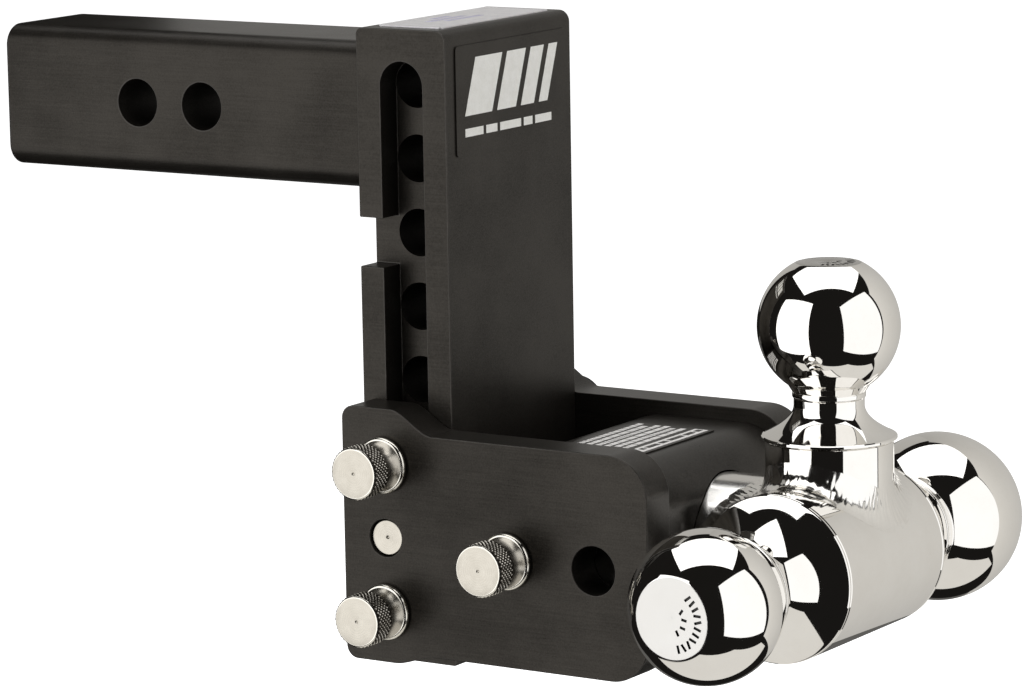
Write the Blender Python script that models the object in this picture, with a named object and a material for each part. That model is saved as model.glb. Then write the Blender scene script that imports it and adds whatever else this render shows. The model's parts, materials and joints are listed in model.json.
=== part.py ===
"""Adjustable drop trailer hitch with a three-ball head.

Metres, +Z up. The origin is the centre of the receiver pin hole, on the axis
of the receiver shank. +X runs towards the balls and -Y is the side that the
knurled pin heads are on.
"""
import math

import bmesh
import bpy
from mathutils import Matrix, Vector

# General fits
GAP = 0.0003
ROUND_SEGMENTS = 28
FINE_SEGMENTS = 40

# Receiver shank
SHANK_SIZE = 0.0508
SHANK_CORNER = 0.0076
SHANK_TAIL_X = -0.0588
SHANK_END_CHAMFER = 0.0009
RECEIVER_HOLE_R = 0.00835
RECEIVER_HOLE_PITCH = 0.028

# Upright post
POST_REAR_X = 0.104
POST_DEPTH = 0.0361
POST_HALF_WIDTH = 0.0397
POST_TOP_Z = 0.0323
POST_BOTTOM_Z = -0.1855
POST_TOP_FRONT_R = 0.0040
POST_TOP_REAR_R = 0.0024
POST_FOOT_R = 0.0012
HOLE_PITCH = 0.0254
HOLE_COUNT = 8
HOLE_R = 0.0082
TOP_HOLE_Z = 0.01283
HOLE_X = POST_REAR_X + POST_DEPTH / 2
GROOVE_DEPTH = 0.0096
GROOVE_HALF_WIDTH = 0.0084
FLANGE_GAP_TOP_Z = -0.0325
FLANGE_GAP_BOTTOM_Z = -0.0493
HEIGHT_PIN_ROWS = {"upper": 6, "lower": 8}
GUIDE_ROW = 7

# Carriage: two side plates joined by a socket block
PLATE_INNER_Y = POST_HALF_WIDTH + GAP
PLATE_OUTER_Y = 0.0546
PLATE_EDGE_R = 0.0009
PLATE_REAR_X = POST_REAR_X + 0.001
PLATE_FRONT_X = POST_REAR_X + 0.1215
BUMP_TOP_Z = -0.0949
BUMP_BOTTOM_Z = -0.1829
BUMP_FLAT_X = POST_REAR_X + 0.0205
NOSE_FLAT_X = POST_REAR_X + 0.0375
NOSE_TOP_Z = -0.1030
NOSE_BOTTOM_Z = -0.1792
NOSE_CORNER_R = 0.0145
REAR_CORNER_R = 0.0045
PLATE_HOLE_R = 0.0083

BALL_PIN_X = POST_REAR_X + 0.0672
SPARE_HOLE_X = POST_REAR_X + 0.1006
BALL_AXIS_Z = -0.1424

BLOCK_REAR_X = POST_REAR_X + 0.054
BLOCK_FRONT_X = POST_REAR_X + 0.121
BLOCK_TOP_Z = -0.108
BLOCK_BOTTOM_Z = 2 * BALL_AXIS_Z - BLOCK_TOP_Z
BLOCK_CORNER_R = 0.017
BLOCK_HALF_WIDTH = PLATE_INNER_Y - GAP

# Pins
PIN_R = 0.0078
PIN_TIP_Y = 0.0644
PIN_GROOVE_Y = 0.0602
PIN_GROOVE_WIDTH = 0.0024
PIN_GROOVE_SHOULDER = 0.0006
PIN_GROOVE_R = 0.0058
PIN_TIP_CHAMFER = 0.0015
FLANGE_R = 0.0098
FLANGE_THICKNESS = 0.0027
KNOB_R = 0.0092
KNOB_NECK_R = 0.0066
KNOB_BACK = 0.0102
KNOB_FACE = 0.0186
KNOB_CHAMFER = 0.0005
KNOB_BACK_FILLET_R = 0.0003
KNOB_BACK_FILLET = 0.0004
NECK_FLARE = 0.0021
GUIDE_PIN_R = 0.0062
GUIDE_HOLE_R = 0.0065
GUIDE_PIN_RECESS = 0.0012
GUIDE_PIN_CHAMFER = 0.0004
GUIDE_PIN_END_Y = POST_HALF_WIDTH - GROOVE_DEPTH + 0.0008

# Pin locks on the far side
LOCK_R = 0.0099
LOCK_INNER_Y = PLATE_OUTER_Y + GAP
LOCK_OUTER_Y = LOCK_INNER_Y + 0.0162
LOCK_BORE_R = 0.0082
LOCK_BORE_DEPTH = 0.0103
LOCK_EDGE_R = 0.0008
PLUG_R = 0.0056
PLUG_DEPTH = 0.0046
KEY_SLOT_LENGTH = 0.0078
KEY_SLOT_WIDTH = 0.0018
KEY_SLOT_DEPTH = 0.0022
CAP_WALL = 0.0012
CAP_SKIRT = 0.0065
CAP_CHAMFER = 0.0006

# Ball head
HUB_X = POST_REAR_X + 0.1597
HUB_R = 0.0281
HUB_NEAR_Y = -0.0366
HUB_FAR_Y = 0.0273
TOP_BALL_REACH = 0.0785
NEAR_BALL_REACH = 0.0821
FAR_BALL_REACH = 0.0776
BALL_SHANK_R = 0.0254
BALL_SHANK_TAIL_X = POST_REAR_X + 0.0560
SOCKET_R = BALL_SHANK_R + 0.0004
TOP_BALL_R = 0.0238125
NEAR_BALL_R = 0.0254
FAR_BALL_R = 0.0293688
TOP_FLAT_R = 0.0105
NEAR_FLAT_R = 0.0132
FAR_FLAT_R = 0.0150
TOP_FLANGE_TOP_Z = -0.1003
STEM_FLANGE_THICKNESS = 0.0013
STEM_FLANGE_EDGE = 0.0004
CONE_SHOULDER = 0.0010
TOP_STEM = {
    "flange_r": 0.0226,
    "cone_height": 0.0100,
    "cone_curve": 2.05,
    "neck_r": 0.0118,
    "collar_r": 0.0124,
    "collar_width": 0.0047,
    "foot_r": 0.0138,
}
SIDE_STEM = {
    "flange_r": HUB_R,
    "cone_height": 0.0205,
    "cone_curve": 2.8,
    "neck_r": 0.0135,
    "collar_r": 0.0182,
    "collar_width": 0.0043,
    "foot_r": 0.0178,
}
RISER_R = 0.0214
WELD_R = 0.0033

# Labels
LABEL_THICKNESS = 0.0003

SILVER = (0.78, 0.75, 0.70, 1.0)
SATIN_BLACK = (0.022, 0.021, 0.019, 1.0)
MIRROR_CHROME = (0.86, 0.86, 0.87, 1.0)
BRASS = (0.62, 0.47, 0.22, 1.0)
BLACK_RUBBER = (0.02, 0.02, 0.02, 1.0)
SILVER_FILM = (0.62, 0.62, 0.66, 1.0)
PALE_FILM = (0.70, 0.70, 0.68, 1.0)


def clear_scene():
    for obj in list(bpy.data.objects):
        bpy.data.objects.remove(obj, do_unlink=True)


def make_material(name, color, roughness, metallic):
    material = bpy.data.materials.new(name)
    material.use_nodes = True
    shader = material.node_tree.nodes["Principled BSDF"]
    shader.inputs["Base Color"].default_value = color
    shader.inputs["Roughness"].default_value = roughness
    shader.inputs["Metallic"].default_value = metallic
    material.diffuse_color = color
    return material


def satin_black(name):
    return make_material(name, SATIN_BLACK, 0.42, 0.0)


def stainless(name):
    return make_material(name, SILVER, 0.28, 1.0)


def chrome(name):
    return make_material(name, MIRROR_CHROME, 0.05, 1.0)


def add_object(name, mesh_data, material):
    """Makes an object from a bmesh, with its faces turned outwards."""
    bmesh.ops.recalc_face_normals(mesh_data, faces=mesh_data.faces)
    mesh = bpy.data.meshes.new(name)
    mesh_data.to_mesh(mesh)
    mesh_data.free()
    obj = bpy.data.objects.new(name, mesh)
    bpy.context.scene.collection.objects.link(obj)
    if material is not None:
        mesh.materials.append(material)
    return obj


def smooth(obj, angle_deg=35.0):
    obj.data.shade_smooth()
    obj.data.set_sharp_from_angle(angle=math.radians(angle_deg))


def add_bevel(obj, width, segments=2):
    bevel = obj.modifiers.new("edge_round", "BEVEL")
    bevel.width = width
    bevel.segments = segments
    bevel.limit_method = "ANGLE"
    bevel.angle_limit = math.radians(50.0)
    bevel.use_clamp_overlap = True
    return bevel


def hide_cutter(obj):
    obj.hide_render = True
    obj.display_type = "WIRE"
    return obj


def cut(target, cutter):
    boolean = target.modifiers.new("cut_" + cutter.name, "BOOLEAN")
    boolean.operation = "DIFFERENCE"
    boolean.solver = "EXACT"
    boolean.object = cutter


def loft(rings):
    """Joins rings of points that have equal counts and closes both ends."""
    mesh_data = bmesh.new()
    loops = [[mesh_data.verts.new(point) for point in ring] for ring in rings]
    count = len(loops[0])
    for first, second in zip(loops, loops[1:]):
        for index in range(count):
            after = (index + 1) % count
            mesh_data.faces.new((first[index], first[after], second[after], second[index]))
    mesh_data.faces.new(loops[0])
    mesh_data.faces.new(loops[-1])
    return mesh_data


def box(name, low, high, material=None):
    corners = [(low[0], low[1]), (high[0], low[1]), (high[0], high[1]), (low[0], high[1])]
    rings = [[Vector((x, y, z)) for x, y in corners] for z in (low[2], high[2])]
    return add_object(name, loft(rings), material)


def arc(center, radius, start_deg, end_deg, steps):
    points = []
    for index in range(steps + 1):
        angle = math.radians(start_deg + (end_deg - start_deg) * index / steps)
        points.append((center[0] + radius * math.cos(angle), center[1] + radius * math.sin(angle)))
    return points


def rounded_rectangle(low, high, radius, steps):
    points = []
    corners = [
        ((high[0] - radius, high[1] - radius), 0),
        ((low[0] + radius, high[1] - radius), 90),
        ((low[0] + radius, low[1] + radius), 180),
        ((high[0] - radius, low[1] + radius), 270),
    ]
    for center, start in corners:
        points.extend(arc(center, radius, start, start + 90, steps))
    return points


def prism_along_y(name, outline_xz, y_low, y_high, material=None):
    rings = [[Vector((x, y, z)) for x, z in outline_xz] for y in (y_low, y_high)]
    return add_object(name, loft(rings), material)


def axis_matrix(origin, direction):
    """Places local +Z along the direction, with its zero at the origin."""
    turn = Vector((0, 0, 1)).rotation_difference(Vector(direction)).to_matrix().to_4x4()
    return Matrix.Translation(Vector(origin)) @ turn


def turned_part(name, profile, origin, direction, material=None, segments=ROUND_SEGMENTS):
    """Turns (distance along the axis, radius) points into a solid of revolution."""
    place = axis_matrix(origin, direction)
    rings = []
    for distance, radius in profile:
        ring = []
        for index in range(segments):
            angle = 2 * math.pi * index / segments
            ring.append(place @ Vector((radius * math.cos(angle), radius * math.sin(angle), distance)))
        rings.append(ring)
    return add_object(name, loft(rings), material)


def cylinder(name, start, direction, length, radius, material=None, segments=ROUND_SEGMENTS):
    profile = [(0.0, radius), (length, radius)]
    return turned_part(name, profile, start, direction, material, segments)


def cylinder_cutter(name, start, direction, length, radius, segments=ROUND_SEGMENTS):
    return hide_cutter(cylinder(name, start, direction, length, radius, None, segments))


def cross_hole_cutter(name, x, z, radius, half_length=0.08):
    return cylinder_cutter(name, (x, -half_length, z), (0, 1, 0), 2 * half_length, radius)


def move_origin(obj, point):
    """Puts the object's origin on a joint axis without moving its shape."""
    offset = Vector(point)
    obj.data.transform(Matrix.Translation(-offset))
    obj.location = offset


def hole_z(number):
    return TOP_HOLE_Z - HOLE_PITCH * (number - 1)


def build_receiver_shank():
    half = SHANK_SIZE / 2
    inset = half - SHANK_END_CHAMFER
    stations = [
        (SHANK_TAIL_X, inset),
        (SHANK_TAIL_X + SHANK_END_CHAMFER, half),
        (POST_REAR_X - GAP, half),
    ]
    rings = []
    for x, reach in stations:
        outline = rounded_rectangle((-reach, -reach), (reach, reach), SHANK_CORNER - (half - reach), 6)
        rings.append([Vector((x, y, z)) for y, z in outline])
    shank = add_object("receiver_shank", loft(rings), satin_black("receiver_shank"))
    for index, x in enumerate((0.0, RECEIVER_HOLE_PITCH)):
        cut(shank, cross_hole_cutter("receiver_hole_cutter_%d" % (index + 1), x, 0.0, RECEIVER_HOLE_R))
    smooth(shank)


def groove_outline():
    top_z = hole_z(1)
    bottom_z = hole_z(HOLE_COUNT)
    points = arc((HOLE_X, top_z), GROOVE_HALF_WIDTH, 0, 180, 16)
    points += arc((HOLE_X, bottom_z), GROOVE_HALF_WIDTH, 180, 360, 16)
    return points


def post_outline():
    """Side view of the post: its corners are rounded, its two side faces are cut flat."""
    front_x = POST_REAR_X + POST_DEPTH
    corners = [
        (front_x, POST_TOP_Z, -1, -1, POST_TOP_FRONT_R),
        (POST_REAR_X, POST_TOP_Z, 1, -1, POST_TOP_REAR_R),
        (POST_REAR_X, POST_BOTTOM_Z, 1, 1, POST_FOOT_R),
        (front_x, POST_BOTTOM_Z, -1, 1, POST_FOOT_R),
    ]
    points = []
    for index, (x, z, inward_x, inward_z, radius) in enumerate(corners):
        center = (x + inward_x * radius, z + inward_z * radius)
        points += arc(center, radius, 90 * index, 90 * index + 90, 5)
    return points


def build_upright_post():
    post = prism_along_y(
        "upright_post", post_outline(), -POST_HALF_WIDTH, POST_HALF_WIDTH, satin_black("upright_post")
    )
    floor_y = POST_HALF_WIDTH - GROOVE_DEPTH
    outside_y = POST_HALF_WIDTH + 0.005
    for side, sign in (("near", -1), ("far", 1)):
        span = sorted((sign * floor_y, sign * outside_y))
        groove = prism_along_y("%s_groove_cutter" % side, groove_outline(), span[0], span[1])
        cut(post, hide_cutter(groove))
        gate_outline = (
            (POST_REAR_X - 0.005, FLANGE_GAP_BOTTOM_Z),
            (HOLE_X, FLANGE_GAP_BOTTOM_Z),
            (HOLE_X, FLANGE_GAP_TOP_Z),
            (POST_REAR_X - 0.005, FLANGE_GAP_TOP_Z),
        )
        gate = prism_along_y("%s_flange_gap_cutter" % side, gate_outline, span[0], span[1])
        cut(post, hide_cutter(gate))
    for number in range(1, HOLE_COUNT + 1):
        cut(post, cross_hole_cutter("height_hole_cutter_%d" % number, HOLE_X, hole_z(number), HOLE_R))
    smooth(post)


def blend_step(from_x, from_z, to_x, to_z, steps):
    """A soft S from one level to another, level at both ends."""
    points = []
    for index in range(steps + 1):
        share = index / steps
        ease = share * share * (3 - 2 * share)
        points.append((from_x + (to_x - from_x) * share, from_z + (to_z - from_z) * ease))
    return points


def plate_outline():
    top_rear = (PLATE_REAR_X + REAR_CORNER_R, BUMP_TOP_Z - REAR_CORNER_R)
    top_front = (PLATE_FRONT_X - NOSE_CORNER_R, NOSE_TOP_Z - NOSE_CORNER_R)
    bottom_front = (PLATE_FRONT_X - NOSE_CORNER_R, NOSE_BOTTOM_Z + NOSE_CORNER_R)
    bottom_rear = (PLATE_REAR_X + REAR_CORNER_R, BUMP_BOTTOM_Z + REAR_CORNER_R)
    points = arc(top_rear, REAR_CORNER_R, 180, 90, 5)
    points += blend_step(BUMP_FLAT_X, BUMP_TOP_Z, NOSE_FLAT_X, NOSE_TOP_Z, 10)
    points += arc(top_front, NOSE_CORNER_R, 90, 0, 8)
    points += arc(bottom_front, NOSE_CORNER_R, 0, -90, 8)
    points += blend_step(NOSE_FLAT_X, NOSE_BOTTOM_Z, BUMP_FLAT_X, BUMP_BOTTOM_Z, 10)
    points += arc(bottom_rear, REAR_CORNER_R, 270, 180, 5)
    return points


def build_side_plates():
    cutters = []
    for label, row in HEIGHT_PIN_ROWS.items():
        cutters.append(cross_hole_cutter("%s_plate_hole_cutter" % label, HOLE_X, hole_z(row), PLATE_HOLE_R))
    cutters.append(cross_hole_cutter("guide_plate_hole_cutter", HOLE_X, hole_z(GUIDE_ROW), GUIDE_HOLE_R))
    for label, x in (("ball_pin", BALL_PIN_X), ("spare", SPARE_HOLE_X)):
        cutters.append(cross_hole_cutter("%s_plate_hole_cutter" % label, x, BALL_AXIS_Z, PLATE_HOLE_R))
    for side, sign in (("near", -1), ("far", 1)):
        span = sorted((sign * PLATE_INNER_Y, sign * PLATE_OUTER_Y))
        name = "%s_side_plate" % side
        plate = prism_along_y(name, plate_outline(), span[0], span[1], satin_black(name))
        add_bevel(plate, PLATE_EDGE_R, 2)
        for cutter in cutters:
            cut(plate, cutter)
        smooth(plate)


def build_socket_block():
    outline = rounded_rectangle(
        (BLOCK_REAR_X, BLOCK_BOTTOM_Z), (BLOCK_FRONT_X, BLOCK_TOP_Z), BLOCK_CORNER_R, 8
    )
    block = prism_along_y(
        "socket_block", outline, -BLOCK_HALF_WIDTH, BLOCK_HALF_WIDTH, satin_black("socket_block")
    )
    bore_start = (BLOCK_REAR_X - 0.01, 0.0, BALL_AXIS_Z)
    bore_length = BLOCK_FRONT_X - BLOCK_REAR_X + 0.02
    cut(block, cylinder_cutter("socket_bore_cutter", bore_start, (1, 0, 0), bore_length, SOCKET_R, FINE_SEGMENTS))
    for label, x in (("ball_pin", BALL_PIN_X), ("spare", SPARE_HOLE_X)):
        cut(block, cross_hole_cutter("%s_block_hole_cutter" % label, x, BALL_AXIS_Z, PLATE_HOLE_R))
    smooth(block)


def build_guide_pins():
    for side, sign in (("near", -1), ("far", 1)):
        name = "%s_guide_pin" % side
        start = (HOLE_X, sign * (PLATE_OUTER_Y - GUIDE_PIN_RECESS), hole_z(GUIDE_ROW))
        length = PLATE_OUTER_Y - GUIDE_PIN_RECESS - GUIDE_PIN_END_Y
        profile = [
            (0.0, GUIDE_PIN_R - GUIDE_PIN_CHAMFER),
            (GUIDE_PIN_CHAMFER, GUIDE_PIN_R),
            (length - GUIDE_PIN_CHAMFER, GUIDE_PIN_R),
            (length, GUIDE_PIN_R - GUIDE_PIN_CHAMFER),
        ]
        smooth(turned_part(name, profile, start, (0, -sign, 0), stainless(name)))


def pin_profile():
    """Distances run from the near plate's outer face: heads are negative, the tip positive."""
    shaft = PIN_TIP_Y + PLATE_OUTER_Y
    groove = PIN_GROOVE_Y + PLATE_OUTER_Y
    seat = -GAP
    flange_face = seat - FLANGE_THICKNESS
    profile = [
        (-KNOB_FACE, KNOB_R - KNOB_CHAMFER),
        (-KNOB_FACE + KNOB_CHAMFER, KNOB_R),
        (-KNOB_BACK, KNOB_R),
        (-KNOB_BACK, KNOB_NECK_R + KNOB_BACK_FILLET_R),
    ]
    neck_start = -KNOB_BACK + KNOB_BACK_FILLET
    steps = 7
    for index in range(steps + 1):
        share = index / steps
        distance = neck_start + share * (flange_face - neck_start)
        profile.append((distance, KNOB_NECK_R + NECK_FLARE * share ** 3))
    for offset, rise in arc((0.0, 0.0), FLANGE_THICKNESS / 2, 180, 0, 6):
        distance = seat - FLANGE_THICKNESS / 2 + offset
        profile.append((distance, FLANGE_R - FLANGE_THICKNESS / 2 + rise))
    profile += [
        (seat, PIN_R),
        (groove - PIN_GROOVE_WIDTH / 2 - PIN_GROOVE_SHOULDER, PIN_R),
        (groove - PIN_GROOVE_WIDTH / 2, PIN_GROOVE_R),
        (groove + PIN_GROOVE_WIDTH / 2, PIN_GROOVE_R),
        (groove + PIN_GROOVE_WIDTH / 2 + PIN_GROOVE_SHOULDER, PIN_R),
        (shaft - PIN_TIP_CHAMFER, PIN_R),
        (shaft, PIN_R - PIN_TIP_CHAMFER),
    ]
    return profile


def build_pin(name, x, z):
    origin = (x, -PLATE_OUTER_Y, z)
    pin = turned_part(name, pin_profile(), origin, (0, 1, 0), stainless(name))
    smooth(pin)
    move_origin(pin, origin)


def build_lock(label, x, z):
    """A barrel lock: a body that pushes over the pin's tip, a key plug and a dust cap."""
    length = LOCK_OUTER_Y - LOCK_INNER_Y
    origin = (x, LOCK_INNER_Y, z)
    outer = (x, LOCK_OUTER_Y, z)
    profile = [
        (0.0, LOCK_R - LOCK_EDGE_R),
        (LOCK_EDGE_R, LOCK_R),
        (length - LOCK_EDGE_R, LOCK_R),
        (length, LOCK_R - LOCK_EDGE_R),
    ]
    body_name = "%s_lock_body" % label
    body = turned_part(body_name, profile, origin, (0, 1, 0), stainless(body_name))
    bore_start = (x, LOCK_INNER_Y - 0.005, z)
    bore = cylinder_cutter("%s_lock_bore_cutter" % label, bore_start, (0, 1, 0), LOCK_BORE_DEPTH + 0.005, LOCK_BORE_R)
    cut(body, bore)
    seat_start = (x, LOCK_OUTER_Y - PLUG_DEPTH - GAP, z)
    seat = cylinder_cutter("%s_plug_seat_cutter" % label, seat_start, (0, 1, 0), PLUG_DEPTH + 0.005, PLUG_R + GAP)
    cut(body, seat)
    smooth(body)
    move_origin(body, origin)

    plug_name = "%s_key_plug" % label
    brass = make_material(plug_name, BRASS, 0.35, 1.0)
    plug_start = (x, LOCK_OUTER_Y - PLUG_DEPTH, z)
    plug = cylinder(plug_name, plug_start, (0, 1, 0), PLUG_DEPTH - GAP, PLUG_R, brass)
    slot = box(
        "%s_key_slot_cutter" % label,
        (x - KEY_SLOT_WIDTH / 2, LOCK_OUTER_Y - KEY_SLOT_DEPTH, z - KEY_SLOT_LENGTH / 2),
        (x + KEY_SLOT_WIDTH / 2, LOCK_OUTER_Y + 0.005, z + KEY_SLOT_LENGTH / 2),
    )
    cut(plug, hide_cutter(slot))
    smooth(plug)
    move_origin(plug, plug_start)

    cap_name = "%s_dust_cap" % label
    rubber = make_material(cap_name, BLACK_RUBBER, 0.7, 0.0)
    cap_start = (x, LOCK_OUTER_Y - CAP_SKIRT, z)
    cap_length = CAP_SKIRT + GAP + CAP_WALL
    cap_r = LOCK_R + GAP + CAP_WALL
    cap_profile = [(0.0, cap_r), (cap_length - CAP_CHAMFER, cap_r), (cap_length, cap_r - CAP_CHAMFER)]
    cap = turned_part(cap_name, cap_profile, cap_start, (0, 1, 0), rubber)
    hollow_start = (x, LOCK_OUTER_Y - CAP_SKIRT - 0.005, z)
    hollow_length = CAP_SKIRT + 0.005 + GAP
    hollow = cylinder_cutter("%s_cap_hollow_cutter" % label, hollow_start, (0, 1, 0), hollow_length, LOCK_R + GAP)
    cut(cap, hollow)
    smooth(cap)
    move_origin(cap, outer)


def build_pins_and_locks():
    places = [(label, HOLE_X, hole_z(row)) for label, row in HEIGHT_PIN_ROWS.items()]
    for label, x, z in places:
        build_pin("%s_height_pin" % label, x, z)
        build_lock(label, x, z)
    build_pin("ball_pin", BALL_PIN_X, BALL_AXIS_Z)
    build_lock("ball_pin", BALL_PIN_X, BALL_AXIS_Z)


def hub_cutter(name):
    return cylinder_cutter(
        name, (HUB_X, -0.06, BALL_AXIS_Z), (0, 1, 0), 0.12, HUB_R + GAP, FINE_SEGMENTS
    )


def above_hub_cutter(name, radius):
    return cylinder_cutter(name, (HUB_X, 0.0, BALL_AXIS_Z), (0, 0, 1), 0.06, radius, FINE_SEGMENTS)


def behind_hub_cutter(name, radius):
    return cylinder_cutter(name, (HUB_X, 0.0, BALL_AXIS_Z), (-1, 0, 0), 0.06, radius, FINE_SEGMENTS)


def build_ball_hub():
    profile = [(HUB_NEAR_Y, HUB_R), (HUB_FAR_Y, HUB_R)]
    origin = (HUB_X, 0.0, BALL_AXIS_Z)
    hub = turned_part("ball_hub", profile, origin, (0, 1, 0), chrome("ball_hub"), FINE_SEGMENTS)
    smooth(hub)


def ball_arc(center, radius, neck_radius, flat_radius, steps):
    """Points over a ball, from its neck to the edge of its flat end."""
    start = math.pi - math.asin(neck_radius / radius)
    end = math.asin(flat_radius / radius)
    points = []
    for index in range(steps + 1):
        angle = start + (end - start) * index / steps
        points.append((center + radius * math.cos(angle), radius * math.sin(angle)))
    return points


def ball_and_stem_profile(center, radius, flat_radius, stem):
    """A ball on its stem, from the flat of the flange out: flange, hollow cone, neck, collar and ball."""
    foot = center - math.sqrt(radius ** 2 - (stem["foot_r"] + GAP) ** 2)
    neck_end = foot - stem["collar_width"]
    cone_spread = stem["flange_r"] - CONE_SHOULDER - stem["neck_r"]
    profile = [
        (0.0, stem["flange_r"] - STEM_FLANGE_EDGE),
        (STEM_FLANGE_EDGE, stem["flange_r"]),
        (STEM_FLANGE_THICKNESS, stem["flange_r"]),
    ]
    steps = 7
    for index in range(steps + 1):
        share = index / steps
        distance = STEM_FLANGE_THICKNESS + GAP + stem["cone_height"] * share
        profile.append((distance, stem["neck_r"] + cone_spread * (1 - share) ** stem["cone_curve"]))
    profile += [
        (neck_end, stem["neck_r"]),
        (neck_end + GAP, stem["collar_r"]),
        (foot - GAP, stem["foot_r"]),
    ]
    return profile + ball_arc(center, radius, stem["foot_r"] + GAP, flat_radius, 12)


def build_side_ball(name, rim, reach, radius, flat_radius):
    """A side ball with its stem, whose flange closes the hub at the rim given."""
    side = math.copysign(1, rim)
    center = reach - abs(rim) - GAP
    profile = ball_and_stem_profile(center, radius, flat_radius, SIDE_STEM)
    origin = (HUB_X, rim + side * GAP, BALL_AXIS_Z)
    smooth(turned_part(name, profile, origin, (0, side, 0), chrome(name), FINE_SEGMENTS))


def build_top_ball():
    """The top ball with its stem, whose flange closes the riser."""
    base = TOP_FLANGE_TOP_Z - STEM_FLANGE_THICKNESS
    center = BALL_AXIS_Z + TOP_BALL_REACH - base
    profile = ball_and_stem_profile(center, TOP_BALL_R, TOP_FLAT_R, TOP_STEM)
    smooth(turned_part("top_ball", profile, (HUB_X, 0.0, base), (0, 0, 1), chrome("top_ball")))


def build_ball_riser():
    top = TOP_FLANGE_TOP_Z - STEM_FLANGE_THICKNESS - GAP
    riser = cylinder(
        "ball_riser", (HUB_X, 0.0, BALL_AXIS_Z), (0, 0, 1), top - BALL_AXIS_Z, RISER_R, chrome("ball_riser")
    )
    cut(riser, hub_cutter("riser_saddle_cutter"))
    smooth(riser)


def build_ball_shank():
    edge = 0.0015
    length = HUB_X - BALL_SHANK_TAIL_X
    profile = [(0.0, BALL_SHANK_R - edge), (edge, BALL_SHANK_R), (length, BALL_SHANK_R)]
    origin = (BALL_SHANK_TAIL_X, 0.0, BALL_AXIS_Z)
    shank = turned_part("ball_shank", profile, origin, (1, 0, 0), chrome("ball_shank"), FINE_SEGMENTS)
    cut(shank, hub_cutter("shank_saddle_cutter"))
    cut(shank, above_hub_cutter("shank_riser_cutter", RISER_R + GAP))
    cut(shank, cross_hole_cutter("ball_shank_hole_cutter", BALL_PIN_X, BALL_AXIS_Z, HOLE_R))
    smooth(shank)


def weld_ring(name, stub_radius, along):
    """A bead that follows the seam between the hub and a round stub."""
    reach = WELD_R + GAP + 0.0002
    seam_r = stub_radius + reach
    hub_reach = HUB_R + reach
    center = Vector((HUB_X, 0.0, BALL_AXIS_Z))
    steps = 32
    section = 6
    path = []
    for index in range(steps):
        angle = 2 * math.pi * index / steps
        across = seam_r * math.cos(angle)
        height = math.sqrt(hub_reach ** 2 - across ** 2)
        if along == "z":
            path.append(center + Vector((across, seam_r * math.sin(angle), height)))
        else:
            path.append(center + Vector((-height, seam_r * math.sin(angle), across)))
    mesh_data = bmesh.new()
    loops = []
    for index in range(steps):
        tangent = (path[(index + 1) % steps] - path[index - 1]).normalized()
        outward = (path[index] - center).normalized()
        side = tangent.cross(outward).normalized()
        upward = side.cross(tangent).normalized()
        ring = []
        for corner in range(section):
            turn = 2 * math.pi * corner / section
            offset = side * math.cos(turn) + upward * math.sin(turn)
            ring.append(mesh_data.verts.new(path[index] + offset * WELD_R))
        loops.append(ring)
    for index in range(steps):
        first = loops[index]
        second = loops[(index + 1) % steps]
        for corner in range(section):
            after = (corner + 1) % section
            mesh_data.faces.new((first[corner], first[after], second[after], second[corner]))
    return add_object(name, mesh_data, chrome(name))


def build_weld_beads():
    """The two seams stop where the riser and the shank meet each other."""
    riser_bead = weld_ring("riser_weld_bead", RISER_R, "z")
    cut(riser_bead, behind_hub_cutter("riser_bead_trim_cutter", BALL_SHANK_R + GAP))
    smooth(riser_bead, 60.0)
    shank_bead = weld_ring("shank_weld_bead", BALL_SHANK_R, "x")
    clear_of_riser_bead = RISER_R + 2 * WELD_R + 4 * GAP
    cut(shank_bead, above_hub_cutter("shank_bead_trim_cutter", clear_of_riser_bead))
    smooth(shank_bead, 60.0)


def build_labels():
    top_z = POST_TOP_Z + GAP
    front_x = POST_REAR_X + POST_DEPTH + GAP
    block_z = BLOCK_TOP_Z + GAP
    labels = [
        (
            "post_top_label",
            (POST_REAR_X + 0.0050, -0.0340, top_z),
            (POST_REAR_X + 0.0312, 0.0340, top_z + LABEL_THICKNESS),
            make_material("post_top_label", SILVER_FILM, 0.25, 0.8),
        ),
        (
            "post_front_label",
            (front_x, -0.0340, -0.0110),
            (front_x + LABEL_THICKNESS, 0.0360, 0.0265),
            make_material("post_front_label", PALE_FILM, 0.5, 0.0),
        ),
        (
            "block_label",
            (POST_REAR_X + 0.0722, -0.0255, block_z),
            (POST_REAR_X + 0.1035, 0.0215, block_z + LABEL_THICKNESS),
            make_material("block_label", PALE_FILM, 0.5, 0.0),
        ),
    ]
    for name, low, high, material in labels:
        box(name, low, high, material)


def main():
    clear_scene()
    build_receiver_shank()
    build_upright_post()
    build_side_plates()
    build_socket_block()
    build_guide_pins()
    build_pins_and_locks()
    build_ball_shank()
    build_ball_hub()
    build_ball_riser()
    build_top_ball()
    build_side_ball("near_ball", HUB_NEAR_Y, NEAR_BALL_REACH, NEAR_BALL_R, NEAR_FLAT_R)
    build_side_ball("far_ball", HUB_FAR_Y, FAR_BALL_REACH, FAR_BALL_R, FAR_FLAT_R)
    build_weld_beads()
    build_labels()


main()
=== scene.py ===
"""Finished look of an adjustable drop hitch with a three-ball head.

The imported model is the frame: every piece here takes its place from it. Metres,
+Z up, -Y is the near side, where the knurled pin heads are.
"""
import json
import math

import bmesh
import bpy
from mathutils import Matrix, Vector, noise


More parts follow.
